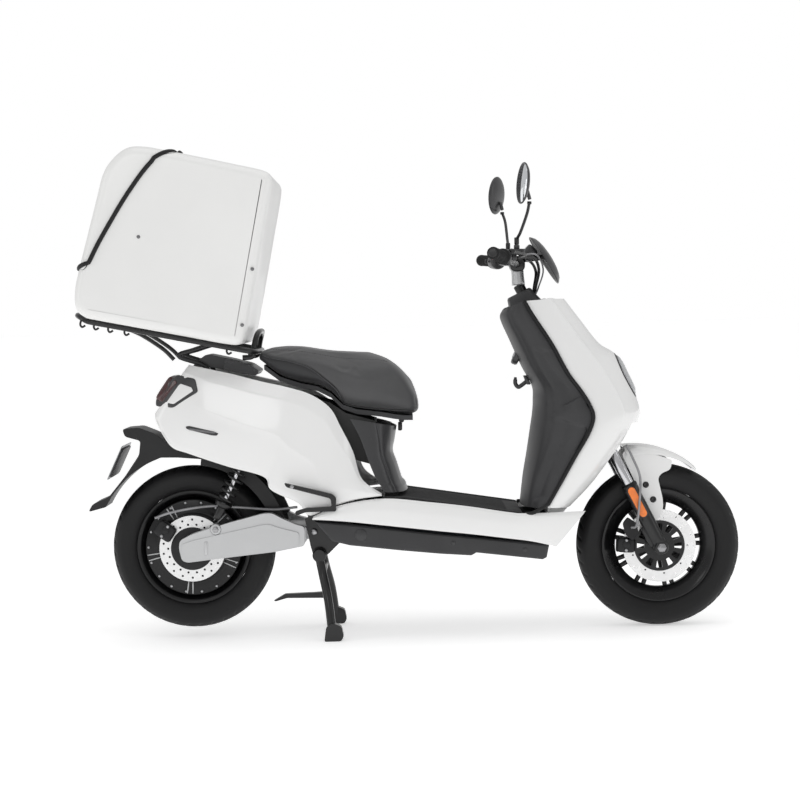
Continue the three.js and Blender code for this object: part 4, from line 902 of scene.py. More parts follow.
def side_panels(side, word):
    inwards = lambda c: -side * Y
    a = shell(f"skirt_panel_{word}", mirrored(skirt, side), white_gloss, "chassis", SKIN, inwards)
    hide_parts(f"side_skirt_{word}")
    b = shell(f"rear_panel_{word}", mirrored(body_sheet, side), white_gloss, "chassis", SKIN, inwards)
    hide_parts(f"rear_body_{word}")


both_sides(side_panels)
print("side panels", body_sheet.shape)

# %% [markdown]
# ## Things that lie on the side panel
# A tail lamp and a slot vent follow the panel. `drape` finds the panel point nearest to each
# (x, z) of an outline, and its tangent plane gives the y there, so a flat drawing bends over it.

# %% Tail lamp and vent
sheet_flat = body_sheet.reshape(-1, 3)
sheet_normal = normals(body_sheet).reshape(-1, 3)
sheet_normal *= np.sign(sheet_normal[:, 1:2])


def drape(xz, lift):
    """Each (x, z) is carried to the panel's tangent plane there, then lifted along the normal."""
    xz = np.asarray(xz, float)
    k = ((sheet_flat[None, :, 0] - xz[:, :1]) ** 2 + (sheet_flat[None, :, 2] - xz[:, 1:]) ** 2).argmin(1)
    p, n_ = sheet_flat[k], sheet_normal[k]
    y = p[:, 1] - (n_[:, 0] * (xz[:, 0] - p[:, 0]) + n_[:, 2] * (xz[:, 1] - p[:, 2])) / n_[:, 1]
    return np.column_stack([xz[:, 0], y, xz[:, 1]]) + n_ * np.reshape(lift, (-1, 1))


def pad(name, loop, lift, material, side, round_off=3.0, rings=5, drop=3.0):
    """A closed patch over an outline: rings shrink to its middle, the outer ones roll down."""
    loop = outline(loop, round_off, 4)
    centre = loop.mean(0)
    scale = np.concatenate([[1.0, 1.0, 0.985], np.linspace(0.93, 0.04, rings)])
    height = np.concatenate([[-drop, lift * 0.4, lift], np.full(rings, lift)])
    rows = np.array([drape(centre + (loop - centre) * k, np.full(len(loop), h)) for k,
                     h in zip(scale, height)])
    v, f = closed_grid(rows)
    build(name, *solid((mirrored(v, side), f)), material, "chassis")


LAMP = [[-34, 729], [19, 718], [28, 682], [-44, 637], [-97, 640], [-96, 660], [-46, 719]]
RED = [[-84, 655], [-74, 652], [-32, 706], [-37, 714], [-43, 710]]
TRIANGLE = [[-62, 651], [-42, 647], [14, 684], [9, 694], [-22, 704], [-28, 698]]
VENT = [[-8, 585], [2, 587], [72, 572], [86, 566], [80, 560], [66, 561], [6, 575], [-6, 579]]


def lamp_parts(side, word):
    pad(f"tail_bezel_{word}", LAMP, 2.0, pillar_plastic, side, 7)
    pad(f"tail_lens_{word}", RED, 4.6, red_lens, side, 3)
    pad(f"tail_inset_{word}", TRIANGLE, 3.4, white_gloss, side, 3)
    pad(f"vent_frame_{word}", VENT, 1.2, dark_plastic, side, 3, 4)
    core = (np.array(VENT) - np.mean(VENT, 0)) * [0.86, 0.5] + np.mean(VENT, 0)
    pad(f"vent_bar_{word}", core, 2.4, lever_grey, side, 1.5, 4, 1.0)


both_sides(lamp_parts)
bridge = build("tail_bridge", *loft([[-64, y, 686] for y in (-100, -96, 0, 96, 100)],
                                    [(12, 34), (16, 38), (17, 40), (16, 38), (12, 34)],
                                    np.array([0.83, 0, -0.55]), np.array([0.55, 0, 0.83]), 40), red_lens,
               "chassis")
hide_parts("tail_light")
print("tail lamp on", len(sheet_flat), "panel points")

# %% [markdown]
# ## Pedestal and seat
# The pedestal is a glossy moulding under the nose of the seat, with two upright creases. The seat
# is one long cushion: superellipses along its length. Pressure fills it as cloth, pinned along the
# seam, so the top swells between the welts; the lower sides are a darker, coarser vinyl.

# %% Pedestal
PEDESTAL = [[613, 398, 548, 176, 402], [602, 430, 528, 170, 432], [588, 474, 512, 160, 466],
            [577, 508, 497, 152, 505], [582, 540, 478, 148, 556], [588, 578, 452, 144, 604]]
s, t = grid(150, 80, 0.4)
r = rows_at(PEDESTAL, t)
a = (s - 0.5) * np.pi
c = np.maximum(np.cos(a), 0)
P = np.stack([r[..., 2] + (r[..., 0] - r[..., 2]) * c ** 0.8, r[..., 3] * np.sin(a),
              r[..., 4] + (r[..., 1] - r[..., 4]) * c], -1)
middle_face = 1 - step(np.abs(s - 0.5), 0.17, 0.20)
P[..., 0] -= 6 * middle_face * step(t, 0.10, 0.2) + 3 * np.exp(-np.abs(np.abs(s - 0.5) - 0.34) / 0.012)
P[..., 2] += 2 * bump(t, 0.12, 0.05)
pedestal = shell("pedestal_moulding", P, pillar_plastic, "chassis", SKIN, lambda c: -X)
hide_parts("seat_pedestal")
latch = loft([[590 + d, 0, 575] for d in (-4, 0, 5, 8)], [(11, 20), (12, 22), (12, 22), (9, 19)], Z, Y, 32)
build("seat_latch", *latch, dark_plastic, "chassis")
print("pedestal", P.shape)

# %% Seat cushion
SEAT_ROWS = [
    [194, 768, 786, 84], [210, 756, 800, 104], [256, 722, 801, 120], [313, 704, 799, 131],
    [360, 695, 792, 137],
    [398, 676, 787, 141], [430, 644, 785, 142], [470, 630, 783, 141], [538, 622, 779, 134],
    [572, 616, 764, 124],
    [602, 612, 734, 108], [628, 612, 688, 88], [645, 622, 655, 60],
]
SEAT = rows_at(SEAT_ROWS, np.linspace(0, 1, 240))


def seat_at(x):
    """Underside, top and half width of the cushion at x."""
    return [np.interp(x, SEAT[:, 0], SEAT[:, k]) for k in (1, 2, 3)]


def seat_y(x, z):
    """The side of the cushion at (x, z): |y/w|^(2/0.55) + |z'/h|^(2/0.6) = 1."""
    low, top_, w = seat_at(x)
    q = np.clip(np.abs((z - (low + top_) / 2) / ((top_ - low) / 2)), 0, 0.995)
    return w * (1 - q ** (2 / 0.6)) ** 0.275


def seat_z(x, y):
    """The top of the cushion at (x, y)."""
    low, top_, w = seat_at(x)
    q = np.clip(np.abs(y / w), 0, 0.995)
    return (low + top_) / 2 + (top_ - low) / 2 * (1 - q ** (2 / 0.55)) ** 0.3


SEAM_LINE = smooth([[206, 783], [230, 775], [290, 764], [340, 746], [380, 716], [410, 690], [424, 668],
                    [432, 648]], 90)
LOW_WELT = smooth([[432, 648], [446, 642], [500, 632], [560, 627], [606, 624], [632, 622]], 60)


def seat_grid(shrink):
    """Rings along the seat with rounded ends, each a superellipse."""
    u = np.linspace(0, 1, 110)
    ease = np.concatenate([[0.55, 0.85, 0.96], np.ones(104), [0.97, 0.86, 0.5]])
    rows = rows_at(SEAT_ROWS, u)
    a = np.linspace(0, 2 * np.pi, 120, endpoint=False)
    c, s_ = np.cos(a), np.sin(a)
    h = ((rows[:, 2] - rows[:, 1]) / 2 * ease - shrink)[:, None]
    y = (rows[:, 3] * ease - shrink)[:, None] * np.sign(c) * np.abs(c) ** 0.55
    z = ((rows[:, 1] + rows[:, 2]) / 2)[:, None] + h * np.sign(s_) * np.abs(s_) ** 0.6
    return np.stack([np.broadcast_to(rows[:, :1], y.shape), y, z], -1)


seat = build("seat_pad", *solid(closed_grid(seat_grid(2.0))), vinyl, "seat")
seat.data.materials.append(vinyl_side)
UNTURN = np.linalg.inv(TURN)
CLOTH_FRAMES = 20


def level(points):
    """Metres in the frame back to level millimetres."""
    return (np.asarray(points) - front_axle) @ UNTURN.T * 1000 + FRONT_HUB


def read(mesh):
    v = np.empty(len(mesh.vertices) * 3)
    mesh.vertices.foreach_get("co", v)
    return v.reshape(-1, 3)


def to_seam(q):
    """Distance in (x, z) from each point to the two welts."""
    line = np.vstack([SEAM_LINE, LOW_WELT])
    return np.sqrt(((q[:, None, [0, 2]] - line[None]) ** 2).sum(-1)).min(1)


def inflate(obj, voxel, most):
    """Cloth under pressure for twenty frames, pinned at the welts and underneath; movement is capped."""
    m = obj.modifiers.new("even", "REMESH")
    m.mode = "VOXEL"
    m.voxel_size = voxel
    bake(obj)
    rest = read(obj.data)
    q = level(rest)
    low, _, w = seat_at(q[:, 0])
    side = np.abs(q[:, 1]) > w * 0.55
    held = np.where(side, np.exp(-(to_seam(q) / 7) ** 2), 0)
    held = np.maximum(held, (q[:, 2] < low + 14).astype(float))
    group = obj.vertex_groups.new(name="held")
    for k in np.nonzero(held > 0.05)[0]:
        group.add([int(k)], float(min(1, held[k])), "REPLACE")
    cloth = obj.modifiers.new("fill", "CLOTH")
    cloth.settings.effector_weights.gravity = 0
    for key, value in {"use_pressure": True, "uniform_pressure_force": 4, "vertex_group_mass": "held",
                       "mass": 0.4,
                       "tension_stiffness": 30, "bending_stiffness": 2}.items():
        setattr(cloth.settings, key, value)
    cloth.collision_settings.use_collision = False
    cloth.point_cache.frame_start, cloth.point_cache.frame_end = 1, CLOTH_FRAMES
    for f in range(1, CLOTH_FRAMES + 1):
        scene.frame_set(f)
    bake(obj)
    scene.frame_set(1)
    move = read(obj.data) - rest
    length = np.linalg.norm(move, axis=1, keepdims=True)
    now = rest + move * np.minimum(1, most / np.maximum(length, 1e-9))
    obj.data.vertices.foreach_set("co", now.ravel())
    obj.data.update()
    print("cloth moved", *[round(float(k) * 1000, 1) for k in (length.mean(), length.max())],
          "mm, mean and most")


inflate(seat, 0.005, 0.008)
q = level(read(seat.data))
side = np.abs(q[:, 1]) > seat_at(q[:, 0])[2] * 0.6
tuck = np.where(side, 2.0 * np.exp(-(to_seam(q) / 4.5) ** 2), 0)
q[:, 1] -= np.sign(q[:, 1]) * tuck
seat.data.vertices.foreach_set("co", place(q).ravel())
seat.data.materials.clear()
seat.data.materials.append(vinyl)
seat.data.materials.append(vinyl_side)
mids = np.array([np.mean([q[i] for i in f.vertices], 0) for f in seat.data.polygons])
line_z = np.interp(mids[:, 0], np.r_[SEAM_LINE[:, 0], LOW_WELT[1:, 0]],
                   np.r_[SEAM_LINE[:, 1], LOW_WELT[1:, 1]])
below = mids[:, 2] < line_z
seat.data.polygons.foreach_set("material_index", below.astype(int))
seat.data.polygons.foreach_set("use_smooth", np.ones(len(mids), bool))
seat.data.update()
m = seat.modifiers.new("soft", "SUBSURF")
m.levels = m.render_levels = 1
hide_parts("seat_cushion")


def welt(name, line, side, r):
    y = seat_y(line[:, 0], line[:, 1]) * side - side * 1.0
    build(name, *swept(np.column_stack([line[:, 0], y, line[:, 1]]), r, 10), thread, "seat")


def stitches(name, path, long, gap, r, body):
    """Short threads laid end to end along a path with gaps between."""
    d = np.r_[0, np.cumsum(np.linalg.norm(np.diff(path, axis=0), axis=1))]
    at = np.arange(2, d[-1] - long, long + gap)
    ends = [np.column_stack([np.interp(at + k, d, path[:, i]) for i in range(3)]) for k in (0, long)]
    build(name, *merge(*[rod(p, q_, r, 6, 0.5) for p, q_ in zip(*ends)]), thread, body)


def seat_trim(side, word):
    welt(f"seat_welt_{word}", SEAM_LINE[4:], side, 2.2)
    welt(f"seat_low_welt_{word}", LOW_WELT, side, 2.0)
    x = np.linspace(226, 560, 120)
    y = side * (seat_at(x)[2] - 24)
    edge = np.column_stack([x, y, seat_z(x, y) + 3.0])
    stitches(f"seat_stitch_{word}", edge, 5.0, 2.5, 0.7, "seat")


both_sides(seat_trim)
print("seat", len(seat.data.polygons), "faces")

# %% [markdown]
# ## Tail
# A grab housing sits behind the seat. Under the tail, the mudguard arches over the tyre and ends
# in a bracket that holds a plate with nothing on it.

# %% Grab housing, mudguard, blank plate
TAIL = [[4, 750], [20, 768], [46, 786], [114, 772], [168, 758], [196, 738], [186, 724], [120, 738], [60, 748]]
grab = plate("grab_housing", [outline(TAIL, 9)], -66, 66, pillar_plastic, "chassis", bevel=4)
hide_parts("tail_cover")
ear = outline([[96, 742], [98, 774], [168, 757], [196, 738], [186, 724]], 7)
for side_, word in SIDES:
    plate(f"grab_ear_{word}", [ear], side_ * 64, side_ * 88, pillar_plastic, "chassis", bevel=4)
GUARD = [[-197, 574], [-150, 578], [-104, 560], [-64, 528], [-20, 518], [44, 524], [44, 486], [-40, 492],
         [-92, 492],
         [-144, 448], [-208, 386], [-244, 352], [-296, 338], [-284, 360], [-238, 380], [-190, 440],
         [-150, 500],
         [-146, 540], [-190, 552]]
guard = plate("mudguard_spine", [outline(GUARD, 8)], -58, 58, black_plastic, "chassis", bevel=5)
carve(guard, prism(circle(0, TYRE_R, TYRE_R + 40, 120), -70, 70))
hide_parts("rear_mudguard")
s, t = grid(60, 40)
a = np.radians(20 + 64 * s)
r = TYRE_R + 38 + 22 * np.sin(np.pi * t)
arch = np.stack([r * np.cos(a), (t - 0.5) * 132, TYRE_R + r * np.sin(a)], -1)
shell("mudguard_arch", arch, black_plastic, "chassis", 4, lambda k: REAR_HUB - k * [1, 0, 1])
sweep = np.radians(np.linspace(14, 84, 40))
arc_at = lambda rr: np.column_stack([rr * np.cos(sweep), TYRE_R + rr * np.sin(sweep)])
ARCH_SIDE = np.vstack([arc_at(238), arc_at(276)[::-1]])
for side_, word in SIDES:
    plate(f"mudguard_side_{word}", [outline(ARCH_SIDE, 4, 3)], side_ * 61, side_ * 66, black_plastic,
          "chassis", 1.5)
UP = np.array([44, 0, 97]) / np.linalg.norm([44, 97])
BACK = np.array([-97, 0, 44]) / np.linalg.norm([44, 97])
plate_map = lambda v_: np.array([-211, 0, 478.0]) + v_[:, :1] * Y + v_[:, 1:2] * BACK + v_[:, 2:] * UP
plate("blank_plate", [outline([[-95, -52], [95, -52], [95, 52], [-95, 52]], 12)], 3, 5, blank_plate,
      "chassis", 0.5, plate_map)
plate("plate_backing", [outline([[-80, -44], [80, -44], [80, 44], [-80, 44]], 14)], -2, 3, dark_plastic,
      "chassis", 1, plate_map)
for k, (py, pz) in enumerate([(-60, 30), (60, 30), (-60, -30), (60, -30)]):
    o = plate_map(np.array([[py, 5, pz]]))[0]
    build(f"plate_bolt_{k + 1}", *dome([[0, -2], [6, -2], [6, 1.5], [4, 3.2], [0, 3.6]], o, BACK, 20), zinc,
          "chassis")
print("tail done")

# %% [markdown]
# ## Delivery box and rack
# The box is a rounded outline carried across the scooter; towards each side the outline shrinks
# along a quarter circle, so every edge is round. A second, smaller copy hollows it. The seam is a
# curve in the side view: what lies behind it is the lid, and a rubber seal follows it round.

# %% Box and lid
BOX_W, BOX_WALL = 450.0, 5.0
TILT_BOX = math.radians(10.7)
U_BOX = np.array([math.cos(TILT_BOX), 0, -math.sin(TILT_BOX)])
W_BOX = np.array([math.sin(TILT_BOX), 0, math.cos(TILT_BOX)])


def in_box(u, w, y=0.0):
    """From the box's own floor frame, which leans back, to the level frame."""
    u, w, y = np.broadcast_arrays(np.asarray(u, float), w, y)
    return np.array([-277, 0, 890.0]) + u[..., None] * U_BOX + w[..., None] * W_BOX + y[..., None] * Y


BOX_SIDE = smooth(np.vstack([
    [[30, 0], [160, 0], [290, 0], [400, 0]], [[436, 8], [446, 40], [447, 120], [447, 220], [446, 330],
                                              [445, 440]],
    [[438, 474], [412, 487], [330, 490], [240, 492], [150, 493], [80, 492]],
    [[36, 480], [4, 446], [-16, 400], [-22, 330], [-29, 230], [-36, 130], [-37, 70], [-26, 22], [0, 3]]]),
                  200, closed=True)


def rounded_slab(loop, half, radius, inset):
    """Copies of a loop across the width: y = half - R(1 - cos f), inset by R(1 - sin f)."""
    d = np.roll(loop, -1, 0) - np.roll(loop, 1, 0)
    n = np.column_stack([-d[:, 1], d[:, 0]]) / np.linalg.norm(d, axis=1)[:, None]
    n *= np.sign(((loop.mean(0) - loop) * n).sum())
    f = np.linspace(0, np.pi / 2, 9)
    sunk, shy = radius * (1 - np.sin(f)), radius * (1 - np.cos(f))
    ins = np.concatenate([sunk, [0, 0, 0], sunk[::-1]])
    ys = np.concatenate([-half + shy, [-half * 0.4, 0, half * 0.4], half - shy[::-1]])
    rings = [in_box(*(loop + n * (k + inset)).T, y) for k, y in zip(ins, ys)]
    return solid(closed_grid(np.array(rings), fan=False))


SEAM = smooth([[-80, 126], [-36, 130], [-15, 139], [11, 221], [64, 362], [118, 463], [178, 500], [186, 560]],
              70)


def lid_region(shift):
    loop = np.vstack([SEAM + [shift, -0.4 * shift], [[-120, 560]]])
    at = in_box(loop[:, 0], loop[:, 1])
    return prism(at[:, [0, 2]], -260, 260)


def box_piece(name, shift, keep, body, node):
    piece = build(name, *rounded_slab(BOX_SIDE, BOX_W / 2, 26, 0), box_gel, body)
    carve(piece, rounded_slab(BOX_SIDE, BOX_W / 2 - BOX_WALL, 22, BOX_WALL))
    carve(piece, lid_region(shift), keep)
    soften(piece, 1.2, 50)
    flat = [abs(f.normal.y) < 0.9995 for f in piece.data.polygons]
    piece.data.polygons.foreach_set("use_smooth", flat)
    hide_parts(node)
    return piece


tub = box_piece("box_tub", 1, "DIFFERENCE", "chassis", "box_shell")
lid = box_piece("box_hood", -1, "INTERSECT", "box_lid", "box_lid")
f = np.linspace(0, np.pi / 2, 10)
inside = SEAM[(SEAM[:, 0] > -10) & (SEAM[:, 1] < 464)]
between = lambda a, b: np.interp(f, [0, np.pi / 2], [a, b])
low_turn = np.column_stack([inside[0, 0] - 27 * np.sin(f), between(inside[0, 1], 130), 200 + 26 * np.cos(f)])
high_turn = np.column_stack([between(inside[-1, 0], 163), 466 + 27 * np.sin(f), 200 + 26 * np.cos(f)])
along = np.vstack([low_turn[::-1], np.column_stack([inside[1:-1], np.full(len(inside) - 2, 226)]), high_turn])
around = np.vstack([along, along[::-1] * [1, 1, -1], along[:1]])
build("box_seal", *swept(in_box(around[:, 0], around[:, 1], around[:, 2]), 6.2, 12), cable_black, "chassis")


def rivets(side, word):
    at = [[112, 246], [434, 216], [434, 60]]
    heads = [dome([[0, -1], [5, -1], [5, 0.8], [3, 2.2], [0, 2.6]], in_box(u, w, side * BOX_W / 2), side * Y,
                  18) for u, w in at]
    build(f"box_rivets_{word}", *merge(*heads), lever_grey, "chassis")


both_sides(rivets)
for side_, word in SIDES:
    knuckle = rod(in_box(170, 498, side_ * 92), in_box(170, 498, side_ * 132), 6, 16)
    build(f"lid_hinge_{word}", *knuckle, steel_black, "chassis")
catch = loft([in_box(-36 - d, 118, 0) for d in (-2, 1, 7, 9)], [(26, 15), (27, 16), (25, 14), (20, 10)],
             W_BOX, Y, 32)
build("lid_catch", *catch, steel_black, "chassis")
print("box", len(tub.data.polygons), "faces, lid", len(lid.data.polygons))

# %% Carrier rack
LIFT = -9.0
HALF_RACK = 168.0
loop = outline([[-32, -HALF_RACK], [476, -HALF_RACK], [476, HALF_RACK], [-32, HALF_RACK]], 60, 12)
loop = np.vstack([np.roll(loop, 3, 0), np.roll(loop, 3, 0)[:1]])
hook_up = 10 * step(-loop[:, 0], -10, 32)
parts = [swept(in_box(loop[:, 0], LIFT + hook_up, loop[:, 1]), 8, 16)]
for u in (100, 224, 348):
    parts.append(rod(in_box(u, LIFT, -HALF_RACK), in_box(u, LIFT, HALF_RACK), 7.4, 16))
for side_ in (-78, 78):
    path = np.vstack([in_box([348, 300, 262], [LIFT - 2, LIFT - 28, -62], side_),
                      [[42, side_, 752], [50, side_, 714]]])
    parts.append(swept(smooth(path, 40), 7, 14))
    parts.append(swept(smooth(in_box([100, 150, 214, 250], [LIFT - 2, LIFT - 14, -50, -74], side_), 30), 6,
                       14))
HOOP = [[180, -96, 788], [184, -96, 815], [190, -86, 839], [194, -54, 848], [194, 0, 849], [194, 54, 848],
        [190, 86, 839],
        [184, 96, 815], [180, 96, 788]]
parts.append(swept(smooth(HOOP, 90), 8, 16))
for side_ in (-1, 1):
    path = [[150, side_ * 96, 776], [170, side_ * 96, 777], [179, side_ * 96, 782], [180, side_ * 96, 795]]
    parts.append(swept(smooth(path, 20), 7.6, 14))
    for u in (-12, 26, 66, 112, 400):
        hook_path = in_box([u, u, u + 6, u + 14], [LIFT, LIFT - 12, LIFT - 18, LIFT - 12],
                           side_ * (HALF_RACK + 2))
        parts.append(swept(smooth(hook_path, 16), 3, 10))
rack = build("rack_tubes", *merge(*parts), steel_black, "chassis")
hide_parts("carrier_rack")
for k, u in enumerate((100, 348)):
    heads = [dome([[0, -1], [7, -1], [7, 2], [4, 4], [0, 4.4]], in_box(u, -1.2, y), W_BOX * -1,
                  6) for y in (-120, 120)]
    build(f"rack_bolts_{k + 1}", *merge(*heads), zinc, "chassis")
print("rack of", len(parts), "tubes")

# %% [markdown]
# ## Wheels
# A tyre is one profile spun 400 times round: the tread is cut by lowering the radius where a wave
# of angle and width says so, and fine rings stand on the sidewall. Both brake discs are flat
# plates with real holes. The front wheel has nine pairs of spokes; the rear has a hub motor.

# %% Tyres
def tyre_shape(x):
    """Radius lowered by 3 mm where cos(40 a + 0.11 |y|) is near 1, and in two grooves round."""
    outer = smooth([[163.5, -31], [170, -37], [181, -42.5], [201, -46], [214, -41], [223, -32], [229, -23],
                    [232, -12],
                    [233, 0], [232, 12], [229, 23], [223, 32], [214, 41], [201, 46], [181, 42.5], [170, 37],
                    [163.5, 31]], 76)
    inner = np.array([[163.5, 24], [163.5, 0], [163.5, -24]])

    def warp(a, r, h):
        on_tread = step(r, 219, 226)
        wave = step(np.cos(40 * a + 0.11 * np.abs(h)), 0.72, 0.86) * step(np.abs(h), 5, 9)
        lines = np.exp(-((np.abs(h) - 13) / 1.5) ** 4)
        beads = 0.7 * (np.exp(-((r - 188) / 1.2) ** 2) + np.exp(-((r - 206) / 1.2) ** 2)) * (1 - on_tread)
        cut_depth = 3.0 * np.maximum(wave, lines) * on_tread
        return r - cut_depth, h + np.sign(h) * beads

    return ring_solid(np.vstack([outer, inner]), [x, 0, TYRE_R], Y, 400, warp)


for x_, body, node in ((0, "rear_wheel", "rear_tyre"), (WHEELBASE, "front_wheel", "front_tyre")):
    tyre = build(f"{node}_treaded", *tyre_shape(x_), tyre_black, body)
    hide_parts(node)
valve = rod([WHEELBASE + 131, -6, TYRE_R + 40], [WHEELBASE + 118, -20, TYRE_R + 36], 3.2, 12)
build("front_valve", *valve, cable_black, "front_wheel")
print("tyres", len(tyre.data.polygons), "faces each")

# %% Rims, spokes and the hub motor
def rim_profile(well):
    return outline([[163, -31], [163, 31], [157, 31], [151, 28], [well + 3, 12], [well, 9], [well, -9],
                    [well + 3, -12],
                    [151, -28], [157, -31]], 2.2, 4)


front_rim_shape = [ring_solid(rim_profile(122), FRONT_HUB, Y, 128)]
front_rim_shape.append(ring_solid(outline([[9, -34], [30, -34], [30, 34], [9, 34]], 3, 4), FRONT_HUB, Y, 48))
for k in range(9):
    for side_ in (-1, 1):
        a_ = 2 * math.pi * k / 9 + side_ * 0.09 + 0.1
        d = np.array([math.cos(a_), 0, math.sin(a_)])
        path = FRONT_HUB + d * np.linspace(27, 128, 14)[:, None]
        front_rim_shape.append(swept(path, np.linspace(7.2, 5.2, 14), 12, 1.25))
front_rim = build("front_rim_spoked", *merge(*front_rim_shape), wheel_black, "front_wheel")
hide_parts("front_rim")
motor_side = outline([[9, -52], [44, -52], [58, -46], [96, -39], [104, -40], [112, -36], [136, -32],
                      [138, -29], [138, 29],
                      [136, 32], [112, 36], [104, 40], [96, 39], [58, 46], [44, 52], [9, 52]], 3, 4)
motor_parts = [ring_solid(motor_side, REAR_HUB, Y, 128), ring_solid(rim_profile(136.5), REAR_HUB, Y, 128)]
motor = build("hub_motor_cast", *merge(*motor_parts), motor_black, "rear_wheel")
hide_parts("rear_hub_motor")
bolts, ribs = [], []
for k in range(18):
    a_ = 2 * math.pi * k / 18
    d = np.array([math.cos(a_), 0, math.sin(a_)])
    for side_ in (-1, 1):
        at = np.array([0, side_ * 31.5, TYRE_R]) + d * 129
        bolts.append(dome([[0, -2], [4.4, -2], [4.4, 2.4], [3.2, 4.2], [0, 4.2]], at, side_ * Y, 6))
for k in range(5):
    for off in (-0.06, 0.06):
        a_ = 2 * math.pi * k / 5 - 0.40 + off
        e_ = np.array([math.cos(a_), 0, math.sin(a_)])
        ribs.append(rod(np.array([0, -39.5, TYRE_R]) + e_ * 95, np.array([0, -33.4, TYRE_R]) + e_ * 134, 2.0,
                        10))
build("hub_motor_bolts", *merge(*bolts), zinc, "rear_wheel")
build("hub_motor_ribs", *merge(*ribs), alloy, "rear_wheel")
print("rims and hub motor done")

# %% Brake discs
def holed(x, radii, count, r, shift=0.0):
    out = []
    for i, rr in enumerate(radii):
        for k in range(count):
            a_ = 2 * math.pi * (k + 0.5 * i + shift) / count
            out.append(circle(x + rr * math.cos(a_), TYRE_R + rr * math.sin(a_), r, 12))
    return out


def windows(x, r0, r1, count, fill):
    out = []
    for k in range(count):
        a_ = 2 * math.pi * (k + np.array([-fill, fill]) / 2) / count
        arc = np.linspace(a_[0], a_[1], 5)
        pts = np.vstack([np.column_stack([r1 * np.cos(arc), r1 * np.sin(arc)]),
                         np.column_stack([r0 * np.cos(arc[::-1]), r0 * np.sin(arc[::-1])])])
        out.append(outline(pts + [x, TYRE_R], 2.5, 3))
    return out


front_ring = plate("front_disc_ring", [circle(WHEELBASE, TYRE_R, 104, 120)], -46, -42, front_disc_steel,
                   "front_wheel", 0.4,
                   holes=[circle(WHEELBASE, TYRE_R, 71, 90), *holed(WHEELBASE, (80, 94), 9, 2.6)])
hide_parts("front_disc")
plate("front_disc_carrier", [circle(WHEELBASE, TYRE_R, 72.5, 90)], -47.5, -40.5, wheel_black, "front_wheel",
      0.6,
      holes=[circle(WHEELBASE, TYRE_R, 9, 24), *windows(WHEELBASE, 43, 64, 12, 0.56)])
spacer = ring_solid(outline([[9, -41], [33, -41], [33, -34.6], [9, -34.6]], 1, 3), FRONT_HUB, Y, 40)
build("front_disc_spacer", *spacer, wheel_black, "front_wheel")
rear_ring = plate("rear_disc_ring", [circle(0, TYRE_R, 94, 120)], -66, -62, rear_disc_steel, "rear_wheel",
                  0.4,
                  holes=[circle(0, TYRE_R, 60, 90), *holed(0, (69, 83), 18, 3.2)])
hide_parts("rear_disc")
carrier_shape = outline([[9, -66.5], [61.5, -66.5], [61.5, -61.5], [40, -61], [40, -52.6], [9, -52.6]], 1, 3)
build("rear_disc_carrier", *ring_solid(carrier_shape, REAR_HUB, Y, 72), cast_grey, "rear_wheel")


def caliper(name, node, x, disc_y, disc_r, angle, size, body):
    """Two rounded halves either side of the disc and a bridge outside its rim."""
    d = np.array([math.cos(angle), 0, math.sin(angle)])
    across = np.array([-math.sin(angle), 0, math.cos(angle)])
    c = np.array([x, disc_y, TYRE_R]) + d * (disc_r - 8)
    a, b = size / 2, size * 0.41
    halves = []
    for s_ in (-1, 1):
        ys = [4.6, 5.6, 15, 18.5, 19.5]
        sizes = [(a - 1, b - 1), (a, b), (a, b), (a - 4, b - 4), (a - 8, b - 8)]
        halves.append(loft([c + s_ * y * Y for y in ys], sizes, d, across, 44))
        halves.append(loft([c + s_ * y * Y - across * 3 for y in (18, 21, 22)],
                           [(11, 11), (11, 11), (9.5, 9.5)], d, across, 32, 1.0))
    halves.append(loft([c + d * (a - 6) + k * Y for k in (-6, -5, 5, 6)],
                       [(7, b - 2), (7.5, b), (7.5, b), (7, b - 2)], d, across, 32))
    piece = build(name, *merge(*halves), cast_grey, body)
    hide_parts(node)
    pins = [dome([[0, -1], [5, -1], [5, 3], [3.6, 4.4], [0, 4.4]], c - Y * 18.5 + across * k, -Y,
                 6) for k in (-b + 7, b - 7)]
    build(name + "_bolts", *merge(*pins), zinc, body)


caliper("rear_caliper_cast", "rear_caliper", 0, -64, 100, math.radians(146), 56, "swingarm")
caliper("front_caliper_cast", "front_caliper", WHEELBASE, -44, 104, math.radians(178), 52, "fork_lowers")
print("discs and calipers done")

# %% [markdown]
# ## Swingarm, shocks and stand
# The cast swingarm legs have a raised rim round a flat web. Each shock has a coil spring: a wire
# carried along a helix. The stand's tubes splay to two feet.

# %% Swingarm
SIDE_ARM = outline([[-32, 240], [-24, 206], [-8, 200], [63, 209], [242, 230], [322, 246], [322, 300],
                    [298, 306], [262, 322],
                    [230, 339], [205, 338], [114, 314], [4, 280], [-30, 262]], 9)
WEB = outline([[-24, 212], [-6, 206], [64, 214], [242, 236], [306, 250], [306, 284], [250, 298], [222, 308],
               [206, 307],
               [114, 287], [4, 262], [-24, 252]], 8)


